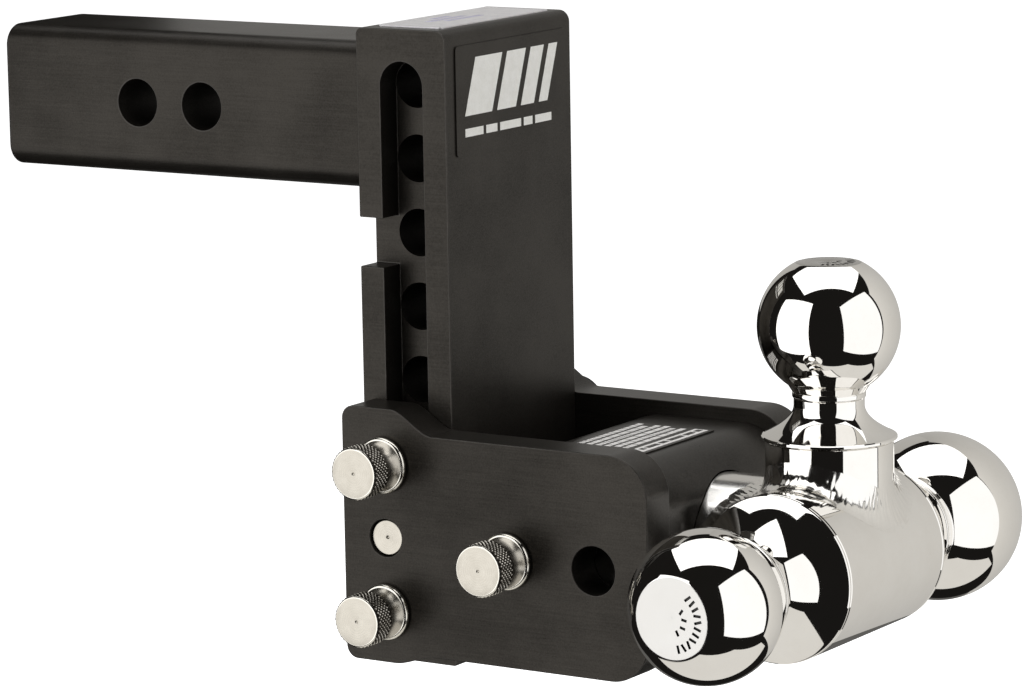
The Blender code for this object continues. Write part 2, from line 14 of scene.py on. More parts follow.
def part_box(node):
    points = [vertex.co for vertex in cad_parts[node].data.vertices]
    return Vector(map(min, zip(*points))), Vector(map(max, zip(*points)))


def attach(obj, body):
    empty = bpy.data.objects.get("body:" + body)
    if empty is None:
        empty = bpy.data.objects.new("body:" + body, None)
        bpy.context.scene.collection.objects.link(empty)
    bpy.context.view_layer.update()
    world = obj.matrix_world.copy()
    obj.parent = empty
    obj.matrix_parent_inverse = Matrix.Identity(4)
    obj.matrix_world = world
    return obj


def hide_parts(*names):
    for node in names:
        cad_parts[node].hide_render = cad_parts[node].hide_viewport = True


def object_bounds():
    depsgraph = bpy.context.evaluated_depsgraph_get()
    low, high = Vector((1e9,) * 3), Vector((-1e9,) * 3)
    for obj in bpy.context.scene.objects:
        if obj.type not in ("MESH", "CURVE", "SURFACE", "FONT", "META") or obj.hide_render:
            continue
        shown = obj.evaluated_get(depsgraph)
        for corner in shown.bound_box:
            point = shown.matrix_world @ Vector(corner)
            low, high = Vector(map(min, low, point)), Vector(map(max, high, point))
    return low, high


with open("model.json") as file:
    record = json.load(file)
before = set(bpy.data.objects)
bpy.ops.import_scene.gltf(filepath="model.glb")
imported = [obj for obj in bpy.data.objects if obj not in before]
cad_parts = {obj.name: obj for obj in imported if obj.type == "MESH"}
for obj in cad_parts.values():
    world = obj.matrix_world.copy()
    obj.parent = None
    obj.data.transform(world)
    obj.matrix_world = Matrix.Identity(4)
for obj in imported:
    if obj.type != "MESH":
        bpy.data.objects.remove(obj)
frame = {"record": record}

CAD_LOW, CAD_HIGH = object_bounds()

# Camera, fitted to the photographed view
CAMERA_PLACE = Vector((0.986767, -1.322028, 0.187775))
CAMERA_AZIMUTH = math.radians(32.666)
CAMERA_ELEVATION = math.radians(9.673)
CAMERA_ROLL = math.radians(0.986)
CAMERA_LENS = 162.43

# Mesh fineness
ROUND_STEPS = 128
BALL_STEPS = 192
CORNER_STEPS = 12
WELD_STEPS = 14
SADDLE_STEPS = 540
AXIS_R = 0.002

# Frame sizes that the boxes of the frame don't give
SHANK_CORNER = 0.0076
RECEIVER_HOLE_R = 0.00835
POST_TOP_FRONT_R = 0.0040
POST_TOP_REAR_R = 0.0024
POST_FOOT_R = 0.0012
POST_HOLE_R = 0.0082
GROOVE_DEPTH = 0.0096
GROOVE_HALF_WIDTH = 0.0084
FLANGE_GAP_MARGIN = 0.0004
PLATE_HOLE_R = 0.0083
GUIDE_HOLE_R = 0.0065
BLOCK_CORNER_R = 0.017
SOCKET_R = 0.0258
FINE_EDGE = 0.0005
PLATE_EDGE = 0.0009
BLOCK_EDGE = 0.0008
TURNED_EDGE = 0.0003

# Plate outline, from the plate's rear edge and from its top and bottom
REAR_CORNER_R = 0.0045
NOSE_CORNER_R = 0.0145
BUMP_LENGTH = 0.0195
NOSE_START = 0.0365
NOSE_DROP = 0.0081
NOSE_RISE = 0.0037

# Pin heads, from the near plate's outer face
PIN_R = 0.0078
PIN_GROOVE_Y = 0.0602
FLANGE_R = 0.0098
FLANGE_THICKNESS = 0.0027
KNOB_R = 0.0092
KNOB_NECK_R = 0.0066
KNOB_BACK = 0.0102
KNOB_FACE = 0.0186
KNURL_AROUND = 36
KNURL_DEPTH = 0.00042
KNOB_RIM = 0.0004
HEAD_GAP = 0.0003
PIN_GROOVE_R = 0.0058
PIN_TIP_CHAMFER = 0.0015

# Locks
LOCK_BORE_R = 0.0082
LOCK_BORE_DEPTH = 0.0103
PLUG_SEAT_DEPTH = 0.0049
KEY_SLOT = Vector((0.0018, 0.0022, 0.0078))

# Ball head
HUB_NEAR_Y = -0.0366
HUB_FAR_Y = 0.0273
TOP_BALL_REACH = 0.0785
NEAR_BALL_REACH = 0.0821
FAR_BALL_REACH = 0.0776
TOP_BALL_R = 0.0238
NEAR_BALL_R = 0.0253
FAR_BALL_R = 0.0293
STEM_FLANGE_THICKNESS = 0.0013
CONE_SHOULDER = 0.0006
COLLAR_RING_SHARE = 0.42
STAMP_DEPTH = 0.0006
TOP_STEM = {
    "flange_r": 0.0226,
    "cone_height": 0.0100,
    "cone_curve": 2.05,
    "neck_r": 0.0118,
    "collar_r": 0.0124,
    "collar_width": 0.0047,
    "foot_r": 0.0138,
}
SIDE_STEM = {
    "flange_r": 0.0281,
    "cone_height": 0.0205,
    "cone_curve": 2.8,
    "neck_r": 0.0135,
    "collar_r": 0.0182,
    "collar_width": 0.0043,
    "foot_r": 0.0178,
}
TOP_FLAT_R = 0.0105
NEAR_FLAT_R = 0.0132
FAR_FLAT_R = 0.0150
RISER_WELD_LEG = 0.0078
SHANK_WELD_LEG = 0.0098
POST_WELD_LEG = 0.0060


# ---------------------------------------------------------------- places

def center_of(node):
    low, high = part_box(node)
    return (low + high) / 2


def opening_box(name):
    for opening in frame["record"]["physics"]["openings"]:
        if opening["name"] == name:
            low, high = opening["box_m"]
            return Vector(low), Vector(high)
    raise ValueError("the record has no opening named " + name)


def opening_center(name):
    low, high = opening_box(name)
    return (low + high) / 2


HOLE_X = opening_center("height_hole_1").x
TOP_HOLE_Z = opening_center("height_hole_1").z
HOLE_PITCH = TOP_HOLE_Z - opening_center("height_hole_2").z
HOLE_ROWS = [TOP_HOLE_Z - HOLE_PITCH * row for row in range(8)]
BALL_PIN = center_of("ball_pin")
SPARE_HOLE = opening_center("near_spare_hole")
GUIDE_PIN = center_of("near_guide_pin")
HUB = Vector((center_of("ball_hub").x, 0.0, BALL_PIN.z))
HUB_R = (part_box("ball_hub")[1].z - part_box("ball_hub")[0].z) / 2
RISER_R = (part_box("ball_riser")[1].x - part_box("ball_riser")[0].x) / 2
BALL_SHANK_R = (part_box("ball_shank")[1].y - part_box("ball_shank")[0].y) / 2


# ---------------------------------------------------------------- meshes

def link_object(name, data):
    obj = bpy.data.objects.new(name, data)
    bpy.context.scene.collection.objects.link(obj)
    return obj


def new_object(name, mesh_data, materials=()):
    bmesh.ops.recalc_face_normals(mesh_data, faces=mesh_data.faces)
    mesh = bpy.data.meshes.new(name)
    mesh_data.to_mesh(mesh)
    mesh_data.free()
    obj = link_object(name, mesh)
    for material in materials:
        mesh.materials.append(material)
    return obj


def smooth(obj, angle_deg=32.0):
    obj.data.shade_smooth()
    obj.data.set_sharp_from_angle(angle=math.radians(angle_deg))


def apply_modifiers(obj):
    bpy.context.view_layer.update()
    depsgraph = bpy.context.evaluated_depsgraph_get()
    mesh = bpy.data.meshes.new_from_object(obj.evaluated_get(depsgraph))
    obj.modifiers.clear()
    obj.data = mesh


def cut_away(obj, cutters):
    """Cuts the cutters out of a piece, then removes them."""
    for cutter in cutters:
        boolean = obj.modifiers.new("cut", "BOOLEAN")
        boolean.operation = "DIFFERENCE"
        boolean.solver = "EXACT"
        boolean.object = cutter
    apply_modifiers(obj)
    for cutter in cutters:
        bpy.data.objects.remove(cutter, do_unlink=True)


def round_edges(obj, width, segments=3, angle_deg=40.0):
    """Rounds the sharp edges and gives the round the piece's edge material."""
    bevel = obj.modifiers.new("edges", "BEVEL")
    bevel.width = width
    bevel.segments = segments
    bevel.limit_method = "ANGLE"
    bevel.angle_limit = math.radians(angle_deg)
    bevel.use_clamp_overlap = True
    # Material 1 is the lighter edge paint: a painted highlight along every rounded edge.
    bevel.material = 1
    apply_modifiers(obj)


def even_normals(obj):
    weighted = obj.modifiers.new("normals", "WEIGHTED_NORMAL")
    weighted.keep_sharp = True
    weighted.weight = 80
    apply_modifiers(obj)


def loft(rings, closed=False):
    """Joins rings of equal counts. It closes the ends, or the rings into a loop."""
    mesh_data = bmesh.new()
    loops = [[mesh_data.verts.new(point) for point in ring] for ring in rings]
    pairs = list(zip(loops, loops[1:]))
    if closed:
        pairs.append((loops[-1], loops[0]))
    count = len(loops[0])
    for first, second in pairs:
        for index in range(count):
            after = (index + 1) % count
            mesh_data.faces.new((first[index], first[after], second[after], second[index]))
    if not closed:
        mesh_data.faces.new(loops[0])
        mesh_data.faces.new(loops[-1])
    return mesh_data


def arc(center, radius, start_deg, end_deg, steps):
    points = []
    for index in range(steps + 1):
        angle = math.radians(start_deg + (end_deg - start_deg) * index / steps)
        points.append((center[0] + radius * math.cos(angle), center[1] + radius * math.sin(angle)))
    return points


def rounded_rectangle(low, high, radius, steps):
    points = []
    corners = [
        ((high[0] - radius, high[1] - radius), 0),
        ((low[0] + radius, high[1] - radius), 90),
        ((low[0] + radius, low[1] + radius), 180),
        ((high[0] - radius, low[1] + radius), 270),
    ]
    for center, start in corners:
        points.extend(arc(center, radius, start, start + 90, steps))
    return points


def prism_along_y(name, outline_xz, y_low, y_high, materials=()):
    rings = [[Vector((x, y, z)) for x, z in outline_xz] for y in (y_low, y_high)]
    return new_object(name, loft(rings), materials)


def box(name, low, high, materials=()):
    corners = [(low[0], low[1]), (high[0], low[1]), (high[0], high[1]), (low[0], high[1])]
    rings = [[Vector((x, y, z)) for x, y in corners] for z in (low[2], high[2])]
    return new_object(name, loft(rings), materials)


def stand(origin, direction):
    """The place of a turned piece whose own Z axis points along direction."""
    turn = Vector((0, 0, 1)).rotation_difference(Vector(direction)).to_matrix().to_4x4()
    return Matrix.Translation(Vector(origin)) @ turn


def turned(name, profile, origin, direction, materials=(), steps=ROUND_STEPS):
    """Turns (distance along the axis, radius) points. The object's origin is on the axis."""
    rings = []
    for distance, radius in profile:
        ring = []
        for index in range(steps):
            angle = 2 * math.pi * index / steps
            ring.append(Vector((radius * math.cos(angle), radius * math.sin(angle), distance)))
        rings.append(ring)
    obj = new_object(name, loft(rings), materials)
    obj.matrix_world = stand(origin, direction)
    return obj


def drill(x, z, radius):
    """A cutter for a hole along Y, longer than any piece is wide."""
    return turned("drill", [(0, radius), (0.16, radius)], (x, -0.08, z), (0, 1, 0))


def soften(profile, radius, steps=3):
    """Rounds the inner corners of a turned profile by a small radius."""
    points = [Vector(point) for point in profile]
    made = [points[0]]
    for before, corner, after in zip(points, points[1:], points[2:]):
        back = before - corner
        ahead = after - corner
        reach = min(radius, back.length * 0.45, ahead.length * 0.45)
        start = corner + back.normalized() * reach
        end = corner + ahead.normalized() * reach
        for index in range(steps + 1):
            share = index / steps
            first = start.lerp(corner, share)
            second = corner.lerp(end, share)
            made.append(first.lerp(second, share))
    made.append(points[-1])
    return [tuple(point) for point in made]


def finish_piece(obj, body, slot, *nodes):
    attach(obj, body)
    if nodes:
        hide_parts(*nodes)


def finish_steel(obj, node):
    smooth(obj)
    even_normals(obj)
    finish_piece(obj, "hitch", "frame_paint", node)


def finish_chrome(obj, node):
    finish_piece(obj, "hitch", "ball_chrome", node)


# ---------------------------------------------------------------- materials

class Graph:
    """A material's node tree, with short calls that add and join nodes."""

    def __init__(self, name, color, roughness, metallic=0.0):
        self.material = bpy.data.materials.new(name)
        self.material.use_nodes = True
        self.material.diffuse_color = (*color, 1.0)
        self.tree = self.material.node_tree
        self.shader = self.tree.nodes["Principled BSDF"]
        self.set("Base Color", (*color, 1.0))
        self.set("Roughness", roughness)
        self.set("Metallic", metallic)
        self.coordinates = self.tree.nodes.new("ShaderNodeTexCoord").outputs["Object"]

    def set(self, socket, value):
        self.shader.inputs[socket].default_value = value

    def join(self, output, socket):
        self.tree.links.new(output, socket)

    def drive(self, socket, output):
        self.join(output, self.shader.inputs[socket])

    def noise(self, scale, detail=3.0, roughness=0.55, stretch=None, source=None):
        node = self.tree.nodes.new("ShaderNodeTexNoise")
        node.inputs["Scale"].default_value = scale
        node.inputs["Detail"].default_value = detail
        node.inputs["Roughness"].default_value = roughness
        source = source or self.coordinates
        if stretch is not None:
            mapping = self.tree.nodes.new("ShaderNodeMapping")
            mapping.inputs["Scale"].default_value = stretch
            self.join(source, mapping.inputs["Vector"])
            source = mapping.outputs["Vector"]
        self.join(source, node.inputs["Vector"])
        return node.outputs["Fac"]

    def math(self, operation, first, second):
        node = self.tree.nodes.new("ShaderNodeMath")
        node.operation = operation
        for value, socket in zip((first, second), node.inputs):
            if isinstance(value, (int, float)):
                socket.default_value = value
            else:
                self.join(value, socket)
        return node.outputs["Value"]

    def remap(self, value, from_low, from_high, to_low, to_high):
        node = self.tree.nodes.new("ShaderNodeMapRange")
        self.join(value, node.inputs["Value"])
        for socket, number in zip(("From Min", "From Max", "To Min", "To Max"),
                                  (from_low, from_high, to_low, to_high)):
            node.inputs[socket].default_value = number
        return node.outputs["Result"]

    def mix(self, factor, first, second):
        node = self.tree.nodes.new("ShaderNodeMix")
        node.data_type = "RGBA"
        self.join(factor, node.inputs["Factor"])
        colors = [socket for socket in node.inputs if socket.type == "RGBA"]
        for value, socket in zip((first, second), colors):
            if isinstance(value, tuple):
                socket.default_value = (*value, 1.0)
            else:
                self.join(value, socket)
        return [socket for socket in node.outputs if socket.type == "RGBA"][0]

    def blend(self, *parts):
        """The sum of (output, weight) pairs."""
        weighed = [self.math("MULTIPLY", output, weight) for output, weight in parts]
        total = weighed[0]
        for output in weighed[1:]:
            total = self.math("ADD", total, output)
        return total

    def tint(self, value, low, high, dark, light):
        """Colours from dark to light as value goes from low to high."""
        self.drive("Base Color", self.mix(self.remap(value, low, high, 0.0, 1.0), dark, light))

    def roughen(self, value, low, high, first, last):
        """Roughness from first to last as value goes from low to high."""
        self.drive("Roughness", self.remap(value, low, high, first, last))

    def bump(self, height, distance, strength):
        node = self.tree.nodes.new("ShaderNodeBump")
        node.inputs["Strength"].default_value = strength
        node.inputs["Distance"].default_value = distance
        self.join(height, node.inputs["Height"])
        self.join(node.outputs["Normal"], self.shader.inputs["Normal"])

    def radius_from_axis(self):
        """Distance from the object's own Z axis, for marks left by turning."""
        split = self.tree.nodes.new("ShaderNodeSeparateXYZ")
        self.join(self.coordinates, split.inputs["Vector"])
        across = self.math("MULTIPLY", split.outputs["X"], split.outputs["X"])
        along = self.math("MULTIPLY", split.outputs["Y"], split.outputs["Y"])
        return self.math("SQRT", self.math("ADD", across, along), 0.0)


def paint_material(name, dark, light, low_roughness, high_roughness, sheen=(1.0, 0.91, 0.79)):
    """Satin black paint over machined aluminium: fine grain, faint tool lines, soft mottling."""
    graph = Graph(name, dark, low_roughness)
    mottle = graph.noise(22.0, 4.0, 0.6)
    grain = graph.noise(1700.0, 3.0, 0.7)
    lines = graph.noise(60.0, 4.0, 0.6, (1.0, 12.0, 34.0))
    tone = graph.blend((mottle, 0.45), (grain, 0.35), (lines, 0.20))
    graph.tint(tone, 0.36, 0.64, dark, light)
    graph.roughen(tone, 0.35, 0.65, low_roughness, high_roughness)
    graph.bump(graph.blend((grain, 0.8), (lines, 0.2)), 0.00006, 0.75)
    graph.drive("Specular IOR Level", graph.remap(tone, 0.40, 0.60, 0.20, 0.40))
    graph.set("Specular Tint", (*sheen, 1.0))
    return graph.material


def edge_highlight_material(name, dark, light):
    """The same paint on a rounded edge, painted lighter as a painted edge highlight, with small random flecks
    in its tone, roughness and bump.
    """
    graph = Graph(name, dark, 0.34)
    edge_mottle = graph.noise(160.0, 4.0, 0.65)
    fleck = graph.noise(700.0, 3.0, 0.7)
    graph.tint(graph.math("ADD", edge_mottle, fleck), 0.95, 1.25, dark, light)
    graph.roughen(fleck, 0.3, 0.7, 0.28, 0.40)
    graph.bump(fleck, 0.00003, 0.5)
    graph.set("Specular Tint", (1.0, 0.94, 0.86, 1.0))
    return graph.material


def turned_metal_material(name, dark, light, low_roughness, high_roughness, ring_depth):
    """Bright turned metal: fine rings about its axis, slight staining."""
    graph = Graph(name, light, low_roughness, 1.0)
    position = graph.tree.nodes.new("ShaderNodeCombineXYZ")
    graph.join(graph.radius_from_axis(), position.inputs["X"])
    ring = graph.noise(5200.0, 2.0, 0.5, source=position.outputs["Vector"])
    stain = graph.noise(260.0, 4.0, 0.6)
    tone = graph.blend((stain, 0.3), (ring, 0.7))
    graph.tint(tone, 0.38, 0.62, dark, light)
    graph.roughen(tone, 0.35, 0.65, high_roughness, low_roughness)
    graph.bump(ring, ring_depth, 0.6)
    return graph.material


def knurled_material(name, shaded_valley, peak, axis_low, axis_high):
    """Rolled knurling: polished peaks, and valleys painted dark by their depth below the peaks, as painted
    shade.
    """
    graph = Graph(name, peak, 0.22, 1.0)
    height = graph.remap(graph.radius_from_axis(), axis_low, axis_high, 0.0, 1.0)
    stain = graph.remap(graph.noise(900.0, 3.0, 0.6), 0.3, 0.7, -0.12, 0.12)
    graph.drive("Base Color", graph.mix(graph.math("ADD", height, stain), shaded_valley, peak))
    graph.roughen(height, 0.0, 1.0, 0.48, 0.20)
    return graph.material


def chrome_material(name, wave_depth=0.000010, low_roughness=0.018, high_roughness=0.045, shade=1.0):
    """Bright chrome plate, very slightly wavy as plated forgings are."""
    graph = Graph(name, CHROME_LIGHT, low_roughness, 1.0)
    wave = graph.noise(95.0, 2.0, 0.5)
    haze = graph.noise(40.0, 5.0, 0.7)
    dark = tuple(channel * shade for channel in CHROME_DARK)
    light = tuple(channel * shade for channel in CHROME_LIGHT)
    graph.tint(haze, 0.35, 0.65, dark, light)
    graph.roughen(haze, 0.35, 0.7, low_roughness, high_roughness)
    graph.bump(wave, wave_depth, 0.5)
    return graph.material


def film_material(name, dark, light, roughness, metallic=0.0):
    """Printed label film, with faint fibre and print mottle."""
    graph = Graph(name, light, roughness, metallic)
    mottle = graph.noise(300.0, 4.0, 0.6)
    speck = graph.noise(2400.0, 2.0, 0.6)
    tone = graph.blend((mottle, 0.6), (speck, 0.4))
    graph.tint(tone, 0.38, 0.62, dark, light)
    graph.roughen(tone, 0.35, 0.65, roughness * 0.85, roughness * 1.15)
    graph.bump(speck, 0.00001, 0.4)
    return graph.material


CHROME_LIGHT = (0.87, 0.855, 0.825)
CHROME_DARK = (0.83, 0.81, 0.775)
PAINT_DARK = (0.0075, 0.0066, 0.0056)
PAINT_LIGHT = (0.0135, 0.0120, 0.0104)

PAINT = paint_material("satin_black_paint", PAINT_DARK, PAINT_LIGHT, 0.27, 0.39)
# The rounded edges of the frame get a lighter paint: a painted highlight along every edge.
PAINT_EDGE_HIGHLIGHT = edge_highlight_material("paint_edge_highlight", (0.007, 0.006, 0.005), (0.026, 0.023, 0.020))
NICKEL = turned_metal_material("turned_nickel", (0.44, 0.41, 0.355), (0.53, 0.50, 0.44), 0.22, 0.34, 0.00002)
NICKEL_EDGE = turned_metal_material(
    "polished_nickel_rim", (0.70, 0.67, 0.60), (0.82, 0.79, 0.72), 0.12, 0.22, 0.00001
)
# The knurl's valleys are painted almost black by their depth: painted shade between the diamonds.
KNURL = knurled_material(
    "knurled_nickel_painted_shade", (0.035, 0.030, 0.024), (0.82, 0.78, 0.70),
    KNOB_R - KNURL_DEPTH * 0.62, KNOB_R - KNURL_DEPTH * 0.18
)
CHROME = chrome_material("bright_chrome")
CHROME_WELD = chrome_material("chrome_over_weld", 0.00006, 0.09, 0.16)
CHROME_STUB = chrome_material("chrome_over_sawn_bar", 0.00003, 0.12, 0.20)
CROWN = chrome_material("chrome_over_sawn_flat", 0.00002, 0.10, 0.16, 0.62)
# The stamped recesses are painted almost black: painted shade inside the strokes.
STAMP_SHADE = chrome_material("stamped_recess_painted_shade", 0.00004, 0.25, 0.40, 0.04)
BRASS = turned_metal_material("turned_brass", (0.50, 0.36, 0.15), (0.70, 0.53, 0.26), 0.26, 0.40, 0.00002)
RUBBER = paint_material(
    "moulded_rubber", (0.012, 0.012, 0.012), (0.020, 0.020, 0.020), 0.62, 0.78, (1.0, 1.0, 1.0)
)
SILVER_FILM = film_material("silver_film", (0.78, 0.77, 0.80), (0.90, 0.89, 0.90), 0.36, 0.75)
VIOLET_INK = film_material("violet_ink", (0.52, 0.51, 0.68), (0.66, 0.64, 0.80), 0.36, 0.60)
BLACK_FILM = paint_material("black_film", PAINT_DARK, PAINT_LIGHT, 0.27, 0.39)
PALE_INK = film_material("pale_ink", (0.84, 0.83, 0.78), (0.92, 0.91, 0.87), 0.50)
WHITE_INK = film_material("white_ink", (0.84, 0.82, 0.80), (0.93, 0.91, 0.89), 0.50)


# ---------------------------------------------------------------- steel frame

def build_receiver_shank():
    low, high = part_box("receiver_shank")
    chamfer = 0.0009
    rings = []
    for x, inset in ((low.x, chamfer), (low.x + chamfer, 0.0), (high.x, 0.0)):
        corner_low = (low.y + inset, low.z + inset)
        corner_high = (high.y - inset, high.z - inset)
        outline = rounded_rectangle(corner_low, corner_high, SHANK_CORNER - inset, CORNER_STEPS)
        rings.append([Vector((x, y, z)) for y, z in outline])
    bar = new_object("receiver_bar", loft(rings), (PAINT, PAINT_EDGE_HIGHLIGHT))
    holes = []
    for name in ("receiver_pin_hole_1", "receiver_pin_hole_2"):
        place = opening_center(name)
        holes.append(drill(place.x, place.z, RECEIVER_HOLE_R))
    cut_away(bar, holes)
    round_edges(bar, FINE_EDGE, 2)
    finish_steel(bar, "receiver_shank")


def groove_outline():
    points = arc((HOLE_X, HOLE_ROWS[0]), GROOVE_HALF_WIDTH, 0, 180, 32)
    points += arc((HOLE_X, HOLE_ROWS[-1]), GROOVE_HALF_WIDTH, 180, 360, 32)
    return points


def post_outline(low, high):
    """Side view of the post, with its rounded corners."""
    corners = [
        (high.x, high.z, -1, -1, POST_TOP_FRONT_R),
        (low.x, high.z, 1, -1, POST_TOP_REAR_R),
        (low.x, low.z, 1, 1, POST_FOOT_R),
        (high.x, low.z, -1, 1, POST_FOOT_R),
    ]
    points = []
    for index, (x, z, inward_x, inward_z, radius) in enumerate(corners):
        center = (x + inward_x * radius, z + inward_z * radius)
        points += arc(center, radius, 90 * index, 90 * index + 90, CORNER_STEPS)
    return points


def build_upright_post():
    """The holes open inside the grooves, so the outer edges are rounded before they're drilled."""
    low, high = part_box("upright_post")
    post = prism_along_y("drilled_post", post_outline(low, high), low.y, high.y, (PAINT, PAINT_EDGE_HIGHLIGHT))
    grooves = []
    for side, sign in (("near", -1), ("far", 1)):
        floor_y = sign * (high.y - GROOVE_DEPTH)
        span = sorted((floor_y, sign * (high.y + 0.005)))
        grooves.append(prism_along_y("groove", groove_outline(), *span))
        gap_low, gap_high = opening_box(side + "_flange_gap")
        bottom = gap_low.z - FLANGE_GAP_MARGIN
        top = gap_high.z + FLANGE_GAP_MARGIN
        grooves.append(box("gate", (low.x - 0.005, span[0], bottom), (HOLE_X, span[1], top)))
    cut_away(post, grooves)
    round_edges(post, FINE_EDGE, 2, 35.0)
    holes = [drill(HOLE_X, z, POST_HOLE_R) for z in HOLE_ROWS]
    cut_away(post, holes)
    finish_steel(post, "upright_post")


def soft_step(start, end, steps):
    """A smooth S between two levels."""
    points = []
    for index in range(steps + 1):
        share = index / steps
        ease = share * share * (3 - 2 * share)
        points.append((start[0] + (end[0] - start[0]) * share, start[1] + (end[1] - start[1]) * ease))
    return points


def plate_outline(low, high):
    nose_top = high.z - NOSE_DROP
    nose_bottom = low.z + NOSE_RISE
    bump_x = low.x + BUMP_LENGTH
    nose_x = low.x + NOSE_START
    points = arc((low.x + REAR_CORNER_R, high.z - REAR_CORNER_R), REAR_CORNER_R, 180, 90, CORNER_STEPS)
    points += soft_step((bump_x, high.z), (nose_x, nose_top), 24)
    points += arc((high.x - NOSE_CORNER_R, nose_top - NOSE_CORNER_R), NOSE_CORNER_R, 90, 0, 20)
    points += arc((high.x - NOSE_CORNER_R, nose_bottom + NOSE_CORNER_R), NOSE_CORNER_R, 0, -90, 20)
    points += soft_step((nose_x, nose_bottom), (bump_x, low.z), 24)
    points += arc((low.x + REAR_CORNER_R, low.z + REAR_CORNER_R), REAR_CORNER_R, 270, 180, CORNER_STEPS)
    return points


def build_side_plates():
    for side in ("near", "far"):
        node = side + "_side_plate"
        low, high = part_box(node)
        outline = plate_outline(low, high)
        plate = prism_along_y(side + "_cheek_plate", outline, low.y, high.y, (PAINT, PAINT_EDGE_HIGHLIGHT))
        holes = [drill(HOLE_X, HOLE_ROWS[row], PLATE_HOLE_R) for row in (5, 7)]
        holes.append(drill(HOLE_X, GUIDE_PIN.z, GUIDE_HOLE_R))
        holes += [drill(place.x, place.z, PLATE_HOLE_R) for place in (BALL_PIN, SPARE_HOLE)]
        cut_away(plate, holes)
        round_edges(plate, PLATE_EDGE, 3)
        finish_steel(plate, node)


def build_socket_block():
    low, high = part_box("socket_block")
    outline = rounded_rectangle((low.x, low.z), (high.x, high.z), BLOCK_CORNER_R, 20)
    block = prism_along_y("ball_socket_block", outline, low.y, high.y, (PAINT, PAINT_EDGE_HIGHLIGHT))
    cutters = [drill(place.x, place.z, PLATE_HOLE_R) for place in (BALL_PIN, SPARE_HOLE)]
    bore_start = (low.x - 0.02, 0, BALL_PIN.z)
    cutters.append(turned("bore", [(0, SOCKET_R), (0.12, SOCKET_R)], bore_start, (1, 0, 0)))
    cut_away(block, cutters)
    round_edges(block, BLOCK_EDGE, 3)
    finish_steel(block, "socket_block")


# ---------------------------------------------------------------- welds

def ripple(arc_length, share, seed, pitch):
    """Height of a weld's overlapping crescents, from 0 to 1. Their spacing and strength wander."""
    crescent = 1.1 * (share - 0.5) ** 2
    wander = 0.9 * noise.noise(Vector((arc_length * 90, 0.0, seed)))
    wobble = 0.45 * noise.noise(Vector((arc_length * 420, share * 5, seed + 7)))
    strength = 0.55 + 0.45 * noise.noise(Vector((arc_length * 70, share * 2, seed + 3)))
    return strength * abs(math.sin(math.pi * (arc_length / pitch + crescent + wander + wobble)))


def weld_ring(name, corners, fullness, depth, pitch, materials, seed):
    """A fillet round a seam. corners holds (edge on one part, seam, edge on the other, inner point)."""
    rings = []
    arc_length = 0.0
    previous = corners[-1][1]
    for first, seam, last, inner in corners:
        arc_length += (seam - previous).length
        previous = seam
        middle = (first + last) / 2
        outward = (middle - seam).normalized()
        control = seam.lerp(middle, fullness)
        ring = []
        for index in range(WELD_STEPS + 1):
            share = index / WELD_STEPS
            point = first.lerp(control, share).lerp(control.lerp(last, share), share)
            swell = depth * ripple(arc_length, share, seed, pitch) * math.sin(math.pi * share) ** 0.5
            swell += 0.5 * depth * noise.noise(point * 420)
            ring.append(point + outward * swell)
        ring.append(inner)
        rings.append(ring)
    bead = new_object(name, loft(rings, closed=True), materials)
    smooth(bead, 60.0)
    return bead


def saddle_corners(stub_r, stub_axis, third_axis, leg):
    """Corners of the fillet where a round stub stands on the hub. The hub lies along Y."""
    hub_axis = Vector((0, 1, 0))

    def place(third, along_hub, out):
        return HUB + third_axis * third + hub_axis * along_hub + stub_axis * out

    def seam_at(angle):
        third = stub_r * math.cos(angle)
        return third, stub_r * math.sin(angle), math.sqrt(HUB_R ** 2 - third ** 2)

    corners = []
    step = 2 * math.pi / SADDLE_STEPS
    for index in range(SADDLE_STEPS):
        angle = index * step
        third, along, out = seam_at(angle)
        ahead = seam_at(angle + step / 2)
        behind = seam_at(angle - step / 2)
        flat = HUB_R * math.asin(third / HUB_R)
        flat_run = HUB_R * (math.asin(ahead[0] / HUB_R) - math.asin(behind[0] / HUB_R))
        hub_normal = Vector((ahead[1] - behind[1], -flat_run)).normalized()
        rise = Vector((-(ahead[2] - behind[2]), stub_r * step)).normalized()
        on_hub = (flat + leg * hub_normal.x) / HUB_R
        last = place(HUB_R * math.sin(on_hub), along + leg * hub_normal.y, HUB_R * math.cos(on_hub))
        turned_angle = angle + leg * rise.x / stub_r
        first = place(stub_r * math.cos(turned_angle), stub_r * math.sin(turned_angle), out + leg * rise.y)
        inner = place(third * 0.85, along * 0.85, out * 0.85)
        corners.append((first, place(third, along, out), last, inner))
    return corners


def build_head_welds():
    up = saddle_corners(RISER_R, Vector((0, 0, 1)), Vector((1, 0, 0)), RISER_WELD_LEG)
    riser = weld_ring("riser_weld", up, 0.25, 0.00015, 0.0021, (CHROME_WELD,), 3.0)
    finish_chrome(riser, "riser_weld_bead")
    back = saddle_corners(BALL_SHANK_R, Vector((-1, 0, 0)), Vector((0, 0, 1)), SHANK_WELD_LEG)
    shank = weld_ring("shank_weld", back, 0.30, 0.00045, 0.0019, (CHROME_WELD,), 8.0)
    finish_chrome(shank, "shank_weld_bead")


